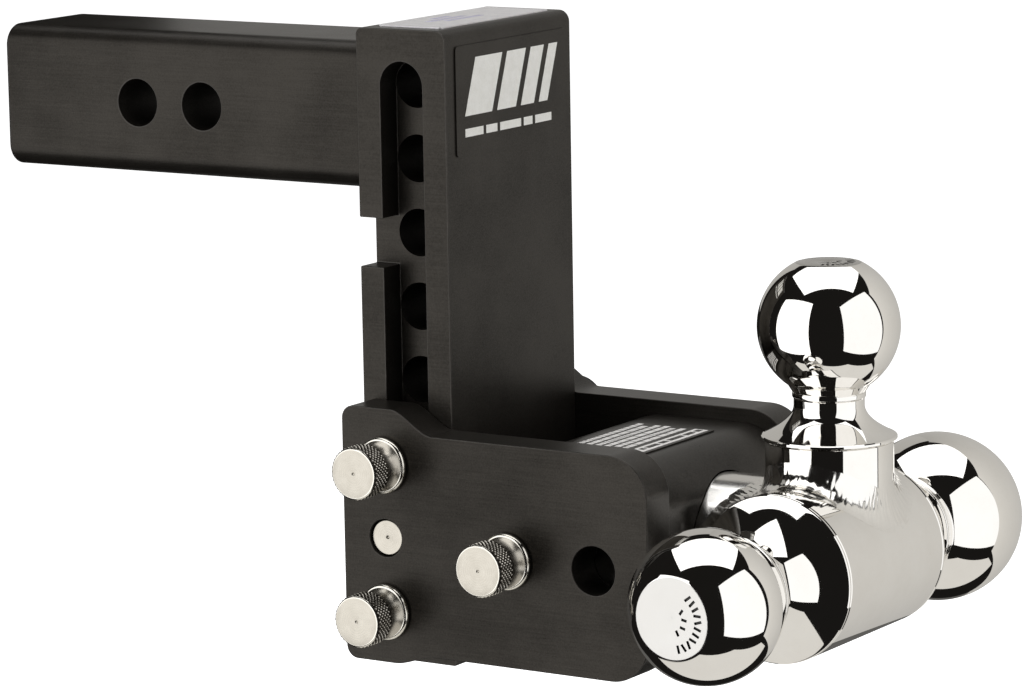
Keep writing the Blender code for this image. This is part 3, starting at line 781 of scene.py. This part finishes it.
def build_post_weld():
    """The fillet round the receiver bar, where it meets the back of the post."""
    low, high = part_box("receiver_shank")
    seam_x = high.x
    corner_steps = 18
    outline = rounded_rectangle((low.y, low.z), (high.y, high.z), SHANK_CORNER, corner_steps)
    dense = []
    for index, start in enumerate(outline):
        end = outline[(index + 1) % len(outline)]
        pieces = max(1, round(math.dist(start, end) / 0.0005))
        for part in range(pieces):
            share = part / pieces
            y = start[0] + (end[0] - start[0]) * share
            z = start[1] + (end[1] - start[1]) * share
            dense.append(Vector((y, z)))
    middle = Vector(((low.y + high.y) / 2, (low.z + high.z) / 2))
    core = Vector((high.y - low.y, high.z - low.z)) / 2 - Vector((SHANK_CORNER, SHANK_CORNER))
    corners = []
    for point in dense:
        offset = point - middle
        nearest = Vector((max(-core.x, min(core.x, offset.x)), max(-core.y, min(core.y, offset.y))))
        outward = (offset - nearest).normalized()
        leg = POST_WELD_LEG
        first = Vector((seam_x - leg, point.x, point.y))
        seam = Vector((seam_x, point.x, point.y))
        last = Vector((seam_x, point.x + outward.x * leg, point.y + outward.y * leg))
        inner = Vector((seam_x, point.x - outward.x * 0.001, point.y - outward.y * 0.001))
        corners.append((first, seam, last, inner))
    bead = weld_ring("post_weld", corners, 0.35, 0.0005, 0.0024, (PAINT,), 5.0)
    finish_piece(bead, "hitch", "frame_paint")


# ---------------------------------------------------------------- pins and locks

def pin_rings(tip):
    """(distance, radius) rings of a pin behind its knurl. Distances run from the near plate's face."""
    groove = PIN_GROOVE_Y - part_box("near_side_plate")[0].y
    flange_face = -FLANGE_THICKNESS - HEAD_GAP
    neck = []
    steps = 16
    for index in range(steps + 1):
        share = index / steps
        distance = -KNOB_BACK + 0.0005 + share * (flange_face + KNOB_BACK - 0.0005)
        neck.append((distance, KNOB_NECK_R + 0.0021 * share ** 3 + 0.0006 * (1 - share) ** 6))
    half = FLANGE_THICKNESS / 2
    rim = [(-HEAD_GAP - half + x, FLANGE_R - half + y) for x, y in arc((0, 0), half, 180, 0, 14)]
    shaft = [
        (-HEAD_GAP, PIN_R),
        (groove - 0.0018, PIN_R),
        (groove - 0.0012, PIN_GROOVE_R),
        (groove + 0.0012, PIN_GROOVE_R),
        (groove + 0.0018, PIN_R),
        (tip - PIN_TIP_CHAMFER, PIN_R),
        (tip, PIN_R - PIN_TIP_CHAMFER),
        (tip, 0.001),
    ]
    return neck + rim + soften(shaft, 0.0003)


def build_pin(name, node, body):
    """A turned pin whose head has a real diamond knurl: each diamond is a low pyramid."""
    low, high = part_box(node)
    plate_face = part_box("near_side_plate")[0].y
    tip = high.y - plate_face
    around = 2 * KNURL_AROUND
    pitch = 2 * math.pi * KNOB_R / around
    knurl_start = -KNOB_FACE + KNOB_RIM
    knurl_length = KNOB_FACE - KNOB_BACK - 2 * KNOB_RIM
    rows = round(knurl_length / pitch)
    mesh_data = bmesh.new()

    def ring(distance, radius_at):
        made = []
        for index in range(around):
            angle = 2 * math.pi * index / around
            radius = radius_at(index) if callable(radius_at) else radius_at
            made.append(mesh_data.verts.new((radius * math.cos(angle), radius * math.sin(angle), distance)))
        return made

    face = [(-KNOB_FACE + 0.0003, 0.0002), (-KNOB_FACE + 0.00005, 0.0006), (-KNOB_FACE, 0.0009)]
    face += [(-KNOB_FACE, KNOB_R - 0.0010), (-KNOB_FACE + 0.0001, KNOB_R - 0.0007)]
    face += [(-KNOB_FACE + 0.0003, KNOB_R - 0.0005)]
    loops = [ring(*point) for point in face]
    first_knurl = len(loops)
    for row in range(rows + 1):
        distance = knurl_start + knurl_length * row / rows
        peak = 0.35 if row in (0, rows) else 1.0

        def radius_at(index, row=row, peak=peak):
            high_point = (index + row) % 2 == 0
            return KNOB_R - KNURL_DEPTH * (1 - peak if high_point else 1.0)

        loops.append(ring(distance, radius_at))
    last_knurl = len(loops) - 1
    loops += [ring(*point) for point in [(-KNOB_BACK, KNOB_R - 0.0009)] + pin_rings(tip)]
    for order, (first, second) in enumerate(zip(loops, loops[1:])):
        knurled = first_knurl <= order < last_knurl
        for index in range(around):
            after = (index + 1) % around
            corners = (first[index], first[after], second[after], second[index])
            if not knurled:
                mesh_data.faces.new(corners)
                continue
            shift = 1 if (index + order - first_knurl) % 2 == 0 else 0
            a, b, c, d = corners[shift:] + corners[:shift]
            mesh_data.faces.new((a, b, c))
            mesh_data.faces.new((c, d, a))
    mesh_data.faces.new(loops[0])
    mesh_data.faces.new(loops[-1])
    pin = new_object(name, mesh_data, (NICKEL, NICKEL_EDGE, KNURL))
    for polygon in pin.data.polygons:
        height = polygon.center.z
        reach = polygon.center.xy.length
        knob_rim = -KNOB_FACE < height < knurl_start and reach > KNOB_R / 2
        flange_rim = height > -FLANGE_THICKNESS - HEAD_GAP and reach > PIN_R + 0.0004
        if knurl_start < height < knurl_start + knurl_length and reach > KNOB_R - 2 * KNURL_DEPTH:
            polygon.material_index = 2
        elif knob_rim or flange_rim:
            polygon.material_index = 1
    smooth(pin, 20.0)
    pin.matrix_world = stand(((low.x + high.x) / 2, plate_face, (low.z + high.z) / 2), (0, 1, 0))
    finish_piece(pin, body, "stainless", node)


def build_guide_pins():
    for side, direction in (("near", 1), ("far", -1)):
        node = side + "_guide_pin"
        low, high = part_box(node)
        radius = (high.z - low.z) / 2
        length = high.y - low.y
        outer_y = low.y if side == "near" else high.y
        profile = [(0.0005, 0.0002), (0.0001, 0.0005), (0.0, 0.0008)]
        profile += [(0.0, radius - 0.0004), (0.0004, radius)]
        profile += [(length - 0.0004, radius), (length, radius - 0.0004), (length, 0.001)]
        place = ((low.x + high.x) / 2, outer_y, GUIDE_PIN.z)
        pin = turned(side + "_guide_stud", profile, place, (0, direction, 0), (NICKEL, NICKEL_EDGE))
        smooth(pin, 40.0)
        finish_piece(pin, "hitch", "stainless", node)


def build_lock(label, body_prefix):
    """The lock on a pin's far end: a barrel over its tip, a key plug and a rubber cap."""
    body_node = label + "_lock_body"
    low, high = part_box(body_node)
    radius = (high.z - low.z) / 2
    length = high.y - low.y
    place = Vector(((low.x + high.x) / 2, low.y, (low.z + high.z) / 2))
    plug_low, plug_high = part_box(label + "_key_plug")
    plug_r = (plug_high.z - plug_low.z) / 2
    seat = length - PLUG_SEAT_DEPTH
    profile = [
        (LOCK_BORE_DEPTH, 0.0005),
        (LOCK_BORE_DEPTH, LOCK_BORE_R),
        (0.0005, LOCK_BORE_R),
        (0.0, LOCK_BORE_R + 0.0005),
        (0.0, radius - 0.0008),
        (0.0008, radius),
        (length - 0.0008, radius),
        (length, radius - 0.0008),
        (length, plug_r + 0.0006),
        (length - 0.0003, plug_r + 0.0003),
        (seat, plug_r + 0.0003),
        (seat, 0.0005),
    ]
    barrel = turned(label + "_lock_barrel", soften(profile, 0.0003), place, (0, 1, 0), (NICKEL, NICKEL_EDGE))
    smooth(barrel, 40.0)
    finish_piece(barrel, body_prefix + "_lock", "stainless", body_node)

    plug_length = plug_high.y - plug_low.y
    plug_place = Vector((place.x, plug_low.y, place.z))
    plug_profile = [(0, 0.0005), (0, plug_r)]
    plug_profile += [(plug_length - TURNED_EDGE, plug_r), (plug_length, plug_r - TURNED_EDGE)]
    plug = turned(label + "_keyway_plug", plug_profile, plug_place, (0, 1, 0), (BRASS,))
    half = KEY_SLOT / 2
    center = Vector((place.x, plug_high.y, place.z))
    slot_low = center - Vector((half.x, KEY_SLOT.y, half.z))
    cut_away(plug, [box("slot", slot_low, center + Vector((half.x, 0.002, half.z)))])
    smooth(plug, 40.0)
    finish_piece(plug, body_prefix + "_plug", "lock_brass", label + "_key_plug")

    cap_node = label + "_dust_cap"
    cap_low, cap_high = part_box(cap_node)
    cap_r = (cap_high.z - cap_low.z) / 2
    cap_length = cap_high.y - cap_low.y
    inner_r = radius + 0.0003
    wall = cap_r - inner_r
    cap_profile = [
        (cap_length - wall, 0.0005),
        (cap_length - wall, inner_r),
        (0.0, inner_r),
        (0.0, cap_r - 0.0004),
        (0.0006, cap_r),
        (0.0016, cap_r),
        (0.0019, cap_r - 0.0003),
        (cap_length - 0.0016, cap_r - 0.0003),
        (cap_length, cap_r - 0.0018),
        (cap_length, cap_r - 0.0038),
        (cap_length - 0.0004, cap_r - 0.0044),
        (cap_length - 0.0004, 0.0005),
    ]
    cap_place = (place.x, cap_low.y, place.z)
    cap = turned(label + "_weather_cap", soften(cap_profile, 0.0004), cap_place, (0, 1, 0), (RUBBER,))
    smooth(cap, 40.0)
    finish_piece(cap, body_prefix + "_cap", "cap_rubber", cap_node)


def build_pins_and_locks():
    build_pin("upper_knurled_pin", "upper_height_pin", "upper_pin")
    build_pin("lower_knurled_pin", "lower_height_pin", "lower_pin")
    build_pin("ball_knurled_pin", "ball_pin", "ball_pin")
    build_guide_pins()
    build_lock("upper", "upper")
    build_lock("lower", "lower")
    build_lock("ball_pin", "ball")


# ---------------------------------------------------------------- ball head

def ball_arc(center, radius, neck_r, flat_r, steps):
    start = math.pi - math.asin(neck_r / radius)
    end = math.asin(flat_r / radius)
    points = []
    for index in range(steps + 1):
        angle = start + (end - start) * index / steps
        points.append((center + radius * math.cos(angle), radius * math.sin(angle)))
    return points


def crown_points(flat_distance, flat_r):
    """The flat end of a ball, with its small centre dimple."""
    return [(flat_distance, flat_r - 0.0006), (flat_distance, 0.0010), (flat_distance - 0.0003, 0.0003)]


def build_hub():
    """A tube with narrow polished bevels at its rims."""
    profile = [
        (HUB_NEAR_Y, AXIS_R),
        (HUB_NEAR_Y, HUB_R - TURNED_EDGE),
        (HUB_NEAR_Y + TURNED_EDGE, HUB_R),
        (HUB_FAR_Y - TURNED_EDGE, HUB_R),
        (HUB_FAR_Y, HUB_R - TURNED_EDGE),
        (HUB_FAR_Y, AXIS_R),
    ]
    hub = turned("head_hub", profile, HUB, (0, 1, 0), (CHROME,), BALL_STEPS)
    smooth(hub)
    finish_chrome(hub, "ball_hub")


def ball_and_stem_profile(center, radius, flat_r, stem):
    """A ball on its stem: flange, hollow cone, neck, ringed collar and ball, from the flange out."""
    foot = center - math.sqrt(radius ** 2 - stem["foot_r"] ** 2)
    neck_end = foot - stem["collar_width"]
    flange_r = stem["flange_r"]
    top = STEM_FLANGE_THICKNESS
    profile = [(0.0, AXIS_R), (0.0, flange_r - TURNED_EDGE), (TURNED_EDGE, flange_r)]
    profile += [(top - TURNED_EDGE, flange_r), (top, flange_r - TURNED_EDGE)]
    steps = 48
    for index in range(steps + 1):
        share = index / steps
        spread = (flange_r - CONE_SHOULDER - stem["neck_r"]) * (1 - share) ** stem["cone_curve"]
        profile.append((top + 0.0001 + stem["cone_height"] * share, stem["neck_r"] + spread))
    ring = stem["collar_width"] * COLLAR_RING_SHARE
    collar_r = stem["collar_r"] - 0.0001
    collar = [
        (neck_end, stem["neck_r"]),
        (neck_end + TURNED_EDGE, collar_r - TURNED_EDGE),
        (neck_end + 2 * TURNED_EDGE, collar_r),
        (neck_end + ring, collar_r),
        (neck_end + ring + 0.0002, collar_r - TURNED_EDGE),
        (neck_end + ring + 0.0004, collar_r),
        (foot, stem["foot_r"]),
    ]
    curve = ball_arc(center, radius, stem["foot_r"], flat_r, 96)
    flat_distance = curve[-1][0] + 0.00005
    profile += soften(collar + curve[1:2], 0.0002)[:-1] + curve[1:-1] + crown_points(flat_distance, flat_r)
    return profile, flat_distance


def build_side_ball(end, rim, reach, radius, flat_r):
    side = math.copysign(1, rim)
    base = abs(rim) + 0.0002
    profile, flat_distance = ball_and_stem_profile(reach - base, radius, flat_r, SIDE_STEM)
    origin = HUB + Vector((0, side * base, 0))
    name = end + "_ball_and_stem"
    ball = turned(name, profile, origin, (0, side, 0), (CHROME, CROWN, STAMP_SHADE), BALL_STEPS)
    finish_crown(ball, flat_distance, flat_r)
    finish_chrome(ball, end + "_ball")


def finish_crown(ball, distance, flat_r):
    """Stamps two arcs of short strokes into a ball's flat end, gives the flat its own finish, and paints the
    stamped recesses almost black as painted shade.
    """
    strokes = []
    for radius_share, count, spread_deg, length in ((0.72, 11, 128, 0.0027), (0.34, 4, 104, 0.0020)):
        for index in range(count):
            angle = math.radians(-12 + spread_deg * (index / (count - 1) - 0.5))
            radius = flat_r * radius_share
            half = Vector((length / 2, 0.00045, 0))
            stroke = box("stroke", -half - Vector((0, 0, STAMP_DEPTH)), half + Vector((0, 0, 0.001)))
            lean = 0.3 * math.sin(index * 2.4)
            local = Matrix.Translation((radius * math.cos(angle), radius * math.sin(angle), distance))
            stroke.matrix_world = ball.matrix_world @ local @ Matrix.Rotation(angle + lean, 4, "Z")
            strokes.append(stroke)
    cut_away(ball, strokes)
    for polygon in ball.data.polygons:
        height = polygon.center.z
        reach = polygon.center.xy.length
        if height > distance - 2 * STAMP_DEPTH and reach < flat_r:
            stamped = height < distance - 0.00005 and 0.0015 < reach < flat_r - 0.0009
            polygon.material_index = 2 if stamped else 1
    smooth(ball, 24.0)


def build_top_ball():
    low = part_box("top_ball")[0]
    center = HUB.z + TOP_BALL_REACH - low.z
    profile, flat_distance = ball_and_stem_profile(center, TOP_BALL_R, TOP_FLAT_R, TOP_STEM)
    origin = (HUB.x, 0, low.z)
    ball = turned("top_ball_and_stem", profile, origin, (0, 0, 1), (CHROME, CROWN, STAMP_SHADE), BALL_STEPS)
    finish_crown(ball, flat_distance, TOP_FLAT_R)
    finish_chrome(ball, "top_ball")


def build_riser():
    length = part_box("ball_riser")[1].z - HUB.z
    foot = HUB_R * 0.5
    profile = [(foot, AXIS_R), (foot, RISER_R), (length - TURNED_EDGE, RISER_R)]
    profile += [(length, RISER_R - TURNED_EDGE), (length, AXIS_R)]
    riser = turned("head_riser", profile, HUB, (0, 0, 1), (CHROME,), BALL_STEPS)
    smooth(riser)
    finish_chrome(riser, "ball_riser")


def build_ball_shank():
    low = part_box("ball_shank")[0]
    length = HUB.x - HUB_R * 0.3 - low.x
    bevel = 0.0015
    profile = [(0, AXIS_R), (0, BALL_SHANK_R - bevel), (bevel, BALL_SHANK_R)]
    profile += [(length, BALL_SHANK_R), (length, AXIS_R)]
    shank = turned("head_shank", profile, (low.x, 0, HUB.z), (1, 0, 0), (CHROME_STUB,), BALL_STEPS)
    cut_away(shank, [drill(BALL_PIN.x, BALL_PIN.z, POST_HOLE_R)])
    smooth(shank)
    finish_chrome(shank, "ball_shank")


def build_ball_head():
    build_hub()
    build_side_ball("near", HUB_NEAR_Y, NEAR_BALL_REACH, NEAR_BALL_R, NEAR_FLAT_R)
    build_side_ball("far", HUB_FAR_Y, FAR_BALL_REACH, FAR_BALL_R, FAR_FLAT_R)
    build_top_ball()
    build_riser()
    build_ball_shank()
    build_head_welds()


# ---------------------------------------------------------------- labels

def sheet_outline(width, height, radius):
    return rounded_rectangle((0, 0), (width, height), radius, 6)


def lying_place(low):
    """For a film that lies flat: turns (across, up, out) into a point."""
    return lambda u, v, out: Vector((low.x + v, low.y + u, low.z + out))


def add_panel(mesh_data, outline, place, thickness, slot):
    """Adds a thin closed panel. place turns (across, up, out) into a point."""
    rings = [[mesh_data.verts.new(place(u, v, out)) for u, v in outline] for out in (0.0, thickness)]
    count = len(outline)
    faces = [mesh_data.faces.new(rings[0]), mesh_data.faces.new(rings[1])]
    for index in range(count):
        after = (index + 1) % count
        corners = (rings[0][index], rings[0][after], rings[1][after], rings[1][index])
        faces.append(mesh_data.faces.new(corners))
    for face in faces:
        face.material_index = slot


def bar(left, bottom, width, height, slant=0.0):
    """An upright or leaning four-sided mark."""
    right = left + width
    top = bottom + height
    return [(left, bottom), (right, bottom), (right + slant, top), (left + slant, top)]


def label_piece(name, node, place, base_outline, marks, materials, slot):
    """A label film with raised print: marks are (outline, material index)."""
    mesh_data = bmesh.new()
    film = 0.00018
    stuck = 0.00025
    add_panel(mesh_data, base_outline, lambda u, v, out: place(u, v, out - stuck), film + stuck, 0)
    for outline, index in marks:
        rise = film - 0.00002 if index else film + 0.00004
        add_panel(mesh_data, outline, lambda u, v, out, rise=rise: place(u, v, out + rise), 0.00007, index)
    label = new_object(name, mesh_data, materials)
    finish_piece(label, "hitch", slot, node)


def build_front_label():
    """A plain badge: four leaning bars over a thin line of dashes."""
    low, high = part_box("post_front_label")
    width = high.y - low.y
    height = high.z - low.z

    def place(u, v, out):
        return Vector((low.x + out, low.y + u, low.z + v))

    marks = []
    left = width * 0.075
    bar_bottom = height * 0.36
    bar_height = height * 0.52
    slant = width * 0.10
    gap = width * 0.045
    for share in (0.24, 0.17, 0.12, 0.08):
        marks.append((bar(left, bar_bottom, width * share, bar_height, slant), 1))
        left += width * share + gap
    dash_left = width * 0.075
    for share in (0.16, 0.10, 0.19, 0.08, 0.15):
        marks.append((bar(dash_left, height * 0.17, width * share, height * 0.075), 1))
        dash_left += width * (share + 0.025)
    outline = sheet_outline(width, height, 0.0015)
    materials = (BLACK_FILM, PALE_INK)
    label_piece("front_badge", "post_front_label", place, outline, marks, materials, "pale_label")


def build_block_label():
    """A plain notice: a heading band with dashes in it, over rows of short dashes."""
    low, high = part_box("block_label")
    depth = high.x - low.x
    width = high.y - low.y
    marks = [(bar(width * 0.04, depth * 0.78, width * 0.92, depth * 0.17), 1)]
    left = width * 0.10
    for share in (0.05, 0.16, 0.09, 0.20, 0.12, 0.07):
        marks.append((bar(left, depth * 0.83, width * share, depth * 0.07), 0))
        left += width * (share + 0.03)
    rows = 6
    for row in range(rows):
        bottom = depth * (0.06 + 0.68 * row / rows)
        left = width * 0.04
        step = 0
        while left < width * 0.90:
            share = 0.025 + 0.085 * abs(math.sin(3.1 * step + 1.7 * row))
            length = min(width * share, width * 0.96 - left)
            marks.append((bar(left, bottom, length, depth * 0.072), 1))
            left += length + width * 0.014
            step += 1
    outline = sheet_outline(width, depth, 0.001)
    materials = (BLACK_FILM, WHITE_INK)
    place = lying_place(low)
    label_piece("block_notice", "block_label", place, outline, marks, materials, "printed_label")


def build_top_label():
    """A plain sticker with three short bars."""
    low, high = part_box("post_top_label")
    depth = high.x - low.x
    width = high.y - low.y
    marks = []
    for row, (start, end) in enumerate(((0.30, 0.62), (0.22, 0.55), (0.34, 0.50))):
        bottom = depth * (0.52 - 0.15 * row)
        marks.append((bar(width * start, bottom, width * (end - start), depth * 0.09), 1))
    outline = sheet_outline(width, depth, 0.0015)
    materials = (SILVER_FILM, VIOLET_INK)
    place = lying_place(low)
    label_piece("top_sticker", "post_top_label", place, outline, marks, materials, "silver_label")


# ---------------------------------------------------------------- studio

def camera_axes():
    azimuth, elevation, roll = CAMERA_AZIMUTH, CAMERA_ELEVATION, CAMERA_ROLL
    back = Vector((
        math.sin(azimuth) * math.cos(elevation),
        -math.cos(azimuth) * math.cos(elevation),
        math.sin(elevation),
    ))
    level_right = Vector((math.cos(azimuth), math.sin(azimuth), 0))
    level_up = back.cross(level_right)
    right = level_right * math.cos(roll) - level_up * math.sin(roll)
    up = level_right * math.sin(roll) + level_up * math.cos(roll)
    return right, up, back


def axes_place(origin, right, up, back):
    return Matrix.Translation(origin) @ Matrix((right, up, back)).transposed().to_4x4()


def add_camera():
    right, up, back = camera_axes()
    data = bpy.data.cameras.new("view")
    data.lens = CAMERA_LENS
    data.sensor_width = 36.0
    data.clip_end = 50.0
    camera = link_object("view", data)
    camera.matrix_world = axes_place(CAMERA_PLACE, right, up, back)
    bpy.context.scene.camera = camera


HEAD_CENTER = HUB + Vector((0, 0, 0.03))
FLOOR_DROP = 0.12
FLOOR_REACH = 6.0
FLOOR_GLOW = 1.0
ROOM_DIFFUSE = 0.14
ROOM_GLOSSY = 0.010
LEFT_BRIGHTNESS = 1.65
RIGHT_BRIGHTNESS = 1.20
TOP_BRIGHTNESS = 1.65
CARD_COLOR = (1.0, 0.975, 0.925)
CARD_BRIGHTNESS = 0.78
WALL_END_SHARE = 0.55
BACK_SHARE = 0.6
LOW_BACK_SHARE = 0.15
CARD_FLOOR = -0.45


def studio_point(front, side, height):
    """A point by its distances towards the camera, to the camera's right, and up from the ball head."""
    towards = Vector((math.sin(CAMERA_AZIMUTH), -math.cos(CAMERA_AZIMUTH), 0))
    rightwards = Vector((math.cos(CAMERA_AZIMUTH), math.sin(CAMERA_AZIMUTH), 0))
    return HEAD_CENTER + towards * front + rightwards * side + Vector((0, 0, height))


def around(angle_deg, distance):
    """(front, side) distances of a point at an angle to the right of the camera's side of the head."""
    angle = math.radians(angle_deg)
    return distance * math.cos(angle), distance * math.sin(angle)


def add_softbox(name, corner, along, up, brightness):
    """A rectangular light with this lower left corner. along and up are its two edges."""
    back = along.cross(up).normalized()
    right = along.normalized()
    data = bpy.data.lights.new(name, "AREA")
    data.shape = "RECTANGLE"
    data.size = along.length
    data.size_y = up.length
    data.energy = brightness * math.pi * data.size * data.size_y
    light = link_object(name, data)
    light.matrix_world = axes_place(corner + along / 2 + up / 2, right, back.cross(right), back)
    light.visible_camera = False


def glow_material(name, color, strength, fade=None):
    """An even glow, or one that changes from strength to fade[2] on the way from point fade[0] to fade[1]."""
    material = bpy.data.materials.new(name)
    material.use_nodes = True
    tree = material.node_tree
    tree.nodes.clear()
    output = tree.nodes.new("ShaderNodeOutputMaterial")
    glow = tree.nodes.new("ShaderNodeEmission")
    glow.inputs["Color"].default_value = (*color, 1.0)
    glow.inputs["Strength"].default_value = strength
    if fade:
        start, end, last_strength = fade
        place = tree.nodes.new("ShaderNodeTexCoord")
        along = tree.nodes.new("ShaderNodeVectorMath")
        along.operation = "DOT_PRODUCT"
        direction = (end - start).normalized()
        along.inputs[1].default_value = direction
        change = tree.nodes.new("ShaderNodeMapRange")
        change.inputs["From Min"].default_value = start.dot(direction)
        change.inputs["From Max"].default_value = end.dot(direction)
        change.inputs["To Min"].default_value = strength
        change.inputs["To Max"].default_value = last_strength
        tree.links.new(place.outputs["Object"], along.inputs[0])
        tree.links.new(along.outputs["Value"], change.inputs["Value"])
        tree.links.new(change.outputs["Result"], glow.inputs["Strength"])
    tree.links.new(glow.outputs["Emission"], output.inputs["Surface"])
    return material


def add_sheet(name, corners, material):
    """A flat sheet of the studio. It casts no shadow and no diffuse light."""
    mesh_data = bmesh.new()
    mesh_data.faces.new([mesh_data.verts.new(corner) for corner in corners])
    mesh = bpy.data.meshes.new(name)
    mesh_data.to_mesh(mesh)
    mesh_data.free()
    mesh.materials.append(material)
    sheet = link_object(name, mesh)
    sheet.visible_diffuse = False
    sheet.visible_shadow = False
    return sheet


def add_card(name, corners, strength, fade=None):
    """A pale card that only shows in reflections."""
    card = add_sheet(name, corners, glow_material(name, CARD_COLOR, strength, fade))
    card.visible_camera = False


def add_upright_card(name, start, end, bottom, top, strength):
    """A four-sided card between two (front, side) places."""
    spots = ((start, bottom), (end, bottom), (end, top), (start, top))
    add_card(name, [studio_point(*spot, height) for spot, height in spots], strength)


def add_floor():
    z = CAD_LOW.z - FLOOR_DROP
    graph = Graph("pale_floor", (0.9, 0.9, 0.9), 0.8)
    graph.set("Emission Color", (1.0, 1.0, 1.0, 1.0))
    graph.set("Emission Strength", FLOOR_GLOW)
    spots = ((-1, -1), (1, -1), (1, 1), (-1, 1))
    corners = [(x * FLOOR_REACH, y * FLOOR_REACH, z) for x, y in spots]
    floor = add_sheet("floor", corners, graph.material)
    floor.visible_glossy = False


def add_world():
    """White behind the object, and a dark room in its reflections."""
    world = bpy.data.worlds.new("studio")
    bpy.context.scene.world = world
    world.use_nodes = True
    tree = world.node_tree
    tree.nodes.clear()
    output = tree.nodes.new("ShaderNodeOutputWorld")
    path = tree.nodes.new("ShaderNodeLightPath")

    def background(color, strength):
        node = tree.nodes.new("ShaderNodeBackground")
        node.inputs["Color"].default_value = (*color, 1.0)
        node.inputs["Strength"].default_value = strength
        return node.outputs["Background"]

    def choose(factor, first, second):
        node = tree.nodes.new("ShaderNodeMixShader")
        tree.links.new(factor, node.inputs[0])
        tree.links.new(first, node.inputs[1])
        tree.links.new(second, node.inputs[2])
        return node.outputs["Shader"]

    room = choose(
        path.outputs["Is Glossy Ray"],
        background((1.0, 0.99, 0.97), ROOM_DIFFUSE),
        background((1.0, 0.93, 0.86), ROOM_GLOSSY),
    )
    shown = choose(path.outputs["Is Camera Ray"], room, background((1, 1, 1), 1.0))
    tree.links.new(shown, output.inputs["Surface"])


def add_lights():
    up = Vector((0, 0, 1))
    left_far = studio_point(*around(-95.5, 1.30), -0.60)
    left_near = studio_point(*around(-36.0, 0.90), -0.60)
    add_softbox("left_softbox", left_far, left_near - left_far, up * 1.45, LEFT_BRIGHTNESS)
    right_near = studio_point(*around(23.0, 1.20), -0.70)
    right_far = studio_point(*around(93.0, 1.22), -0.62)
    lean = (right_near - right_far).normalized() * 0.20 + up * 1.75
    add_softbox("right_softbox", right_near, right_far - right_near, lean, RIGHT_BRIGHTNESS)
    top_corner = studio_point(0.35, -0.72, 1.0)
    top_along = studio_point(0.35, 0.64, 1.0) - top_corner
    top_back = studio_point(-0.78, -0.72, 1.0) - top_corner
    add_softbox("top_softbox", top_corner, top_along, top_back, TOP_BRIGHTNESS)
    wall_near = around(91.5, 0.55)
    wall_far = around(178.0, 0.55)
    wall_bend = studio_point(*wall_near, -0.33).lerp(studio_point(*wall_far, -0.33), 0.72)
    wall = [
        studio_point(*wall_near, -0.37),
        wall_bend,
        studio_point(*wall_far, -0.08),
        studio_point(*wall_far, 0.52),
        studio_point(*wall_near, 0.46),
    ]
    fade = (studio_point(*wall_near, 0), studio_point(*wall_far, 0), CARD_BRIGHTNESS * WALL_END_SHARE)
    add_card("right_wall_card", wall, CARD_BRIGHTNESS, fade)
    back_left = around(205.0, 0.60)
    add_upright_card("back_card", wall_far, back_left, 0.02, 0.45, CARD_BRIGHTNESS * BACK_SHARE)
    low_left = around(157.0, 0.62)
    low_right = around(215.0, 0.62)
    add_upright_card(
        "low_back_card", low_left, low_right, CARD_FLOOR, -0.08, CARD_BRIGHTNESS * LOW_BACK_SHARE
    )
    spots = ((0.32, -0.16), (0.30, 0.24), (-0.04, 0.535), (-0.20, 0.475), (-0.14, -0.40), (0.15, -0.47))
    floor_corners = [studio_point(front, side, CARD_FLOOR) for front, side in spots]
    add_card("floor_card", floor_corners, CARD_BRIGHTNESS)


add_camera()
add_world()
add_lights()
add_floor()
bpy.context.scene.view_settings.view_transform = "Standard"
build_receiver_shank()
build_upright_post()
build_post_weld()
build_side_plates()
build_socket_block()
build_pins_and_locks()
build_ball_head()
build_front_label()
build_block_label()
build_top_label()
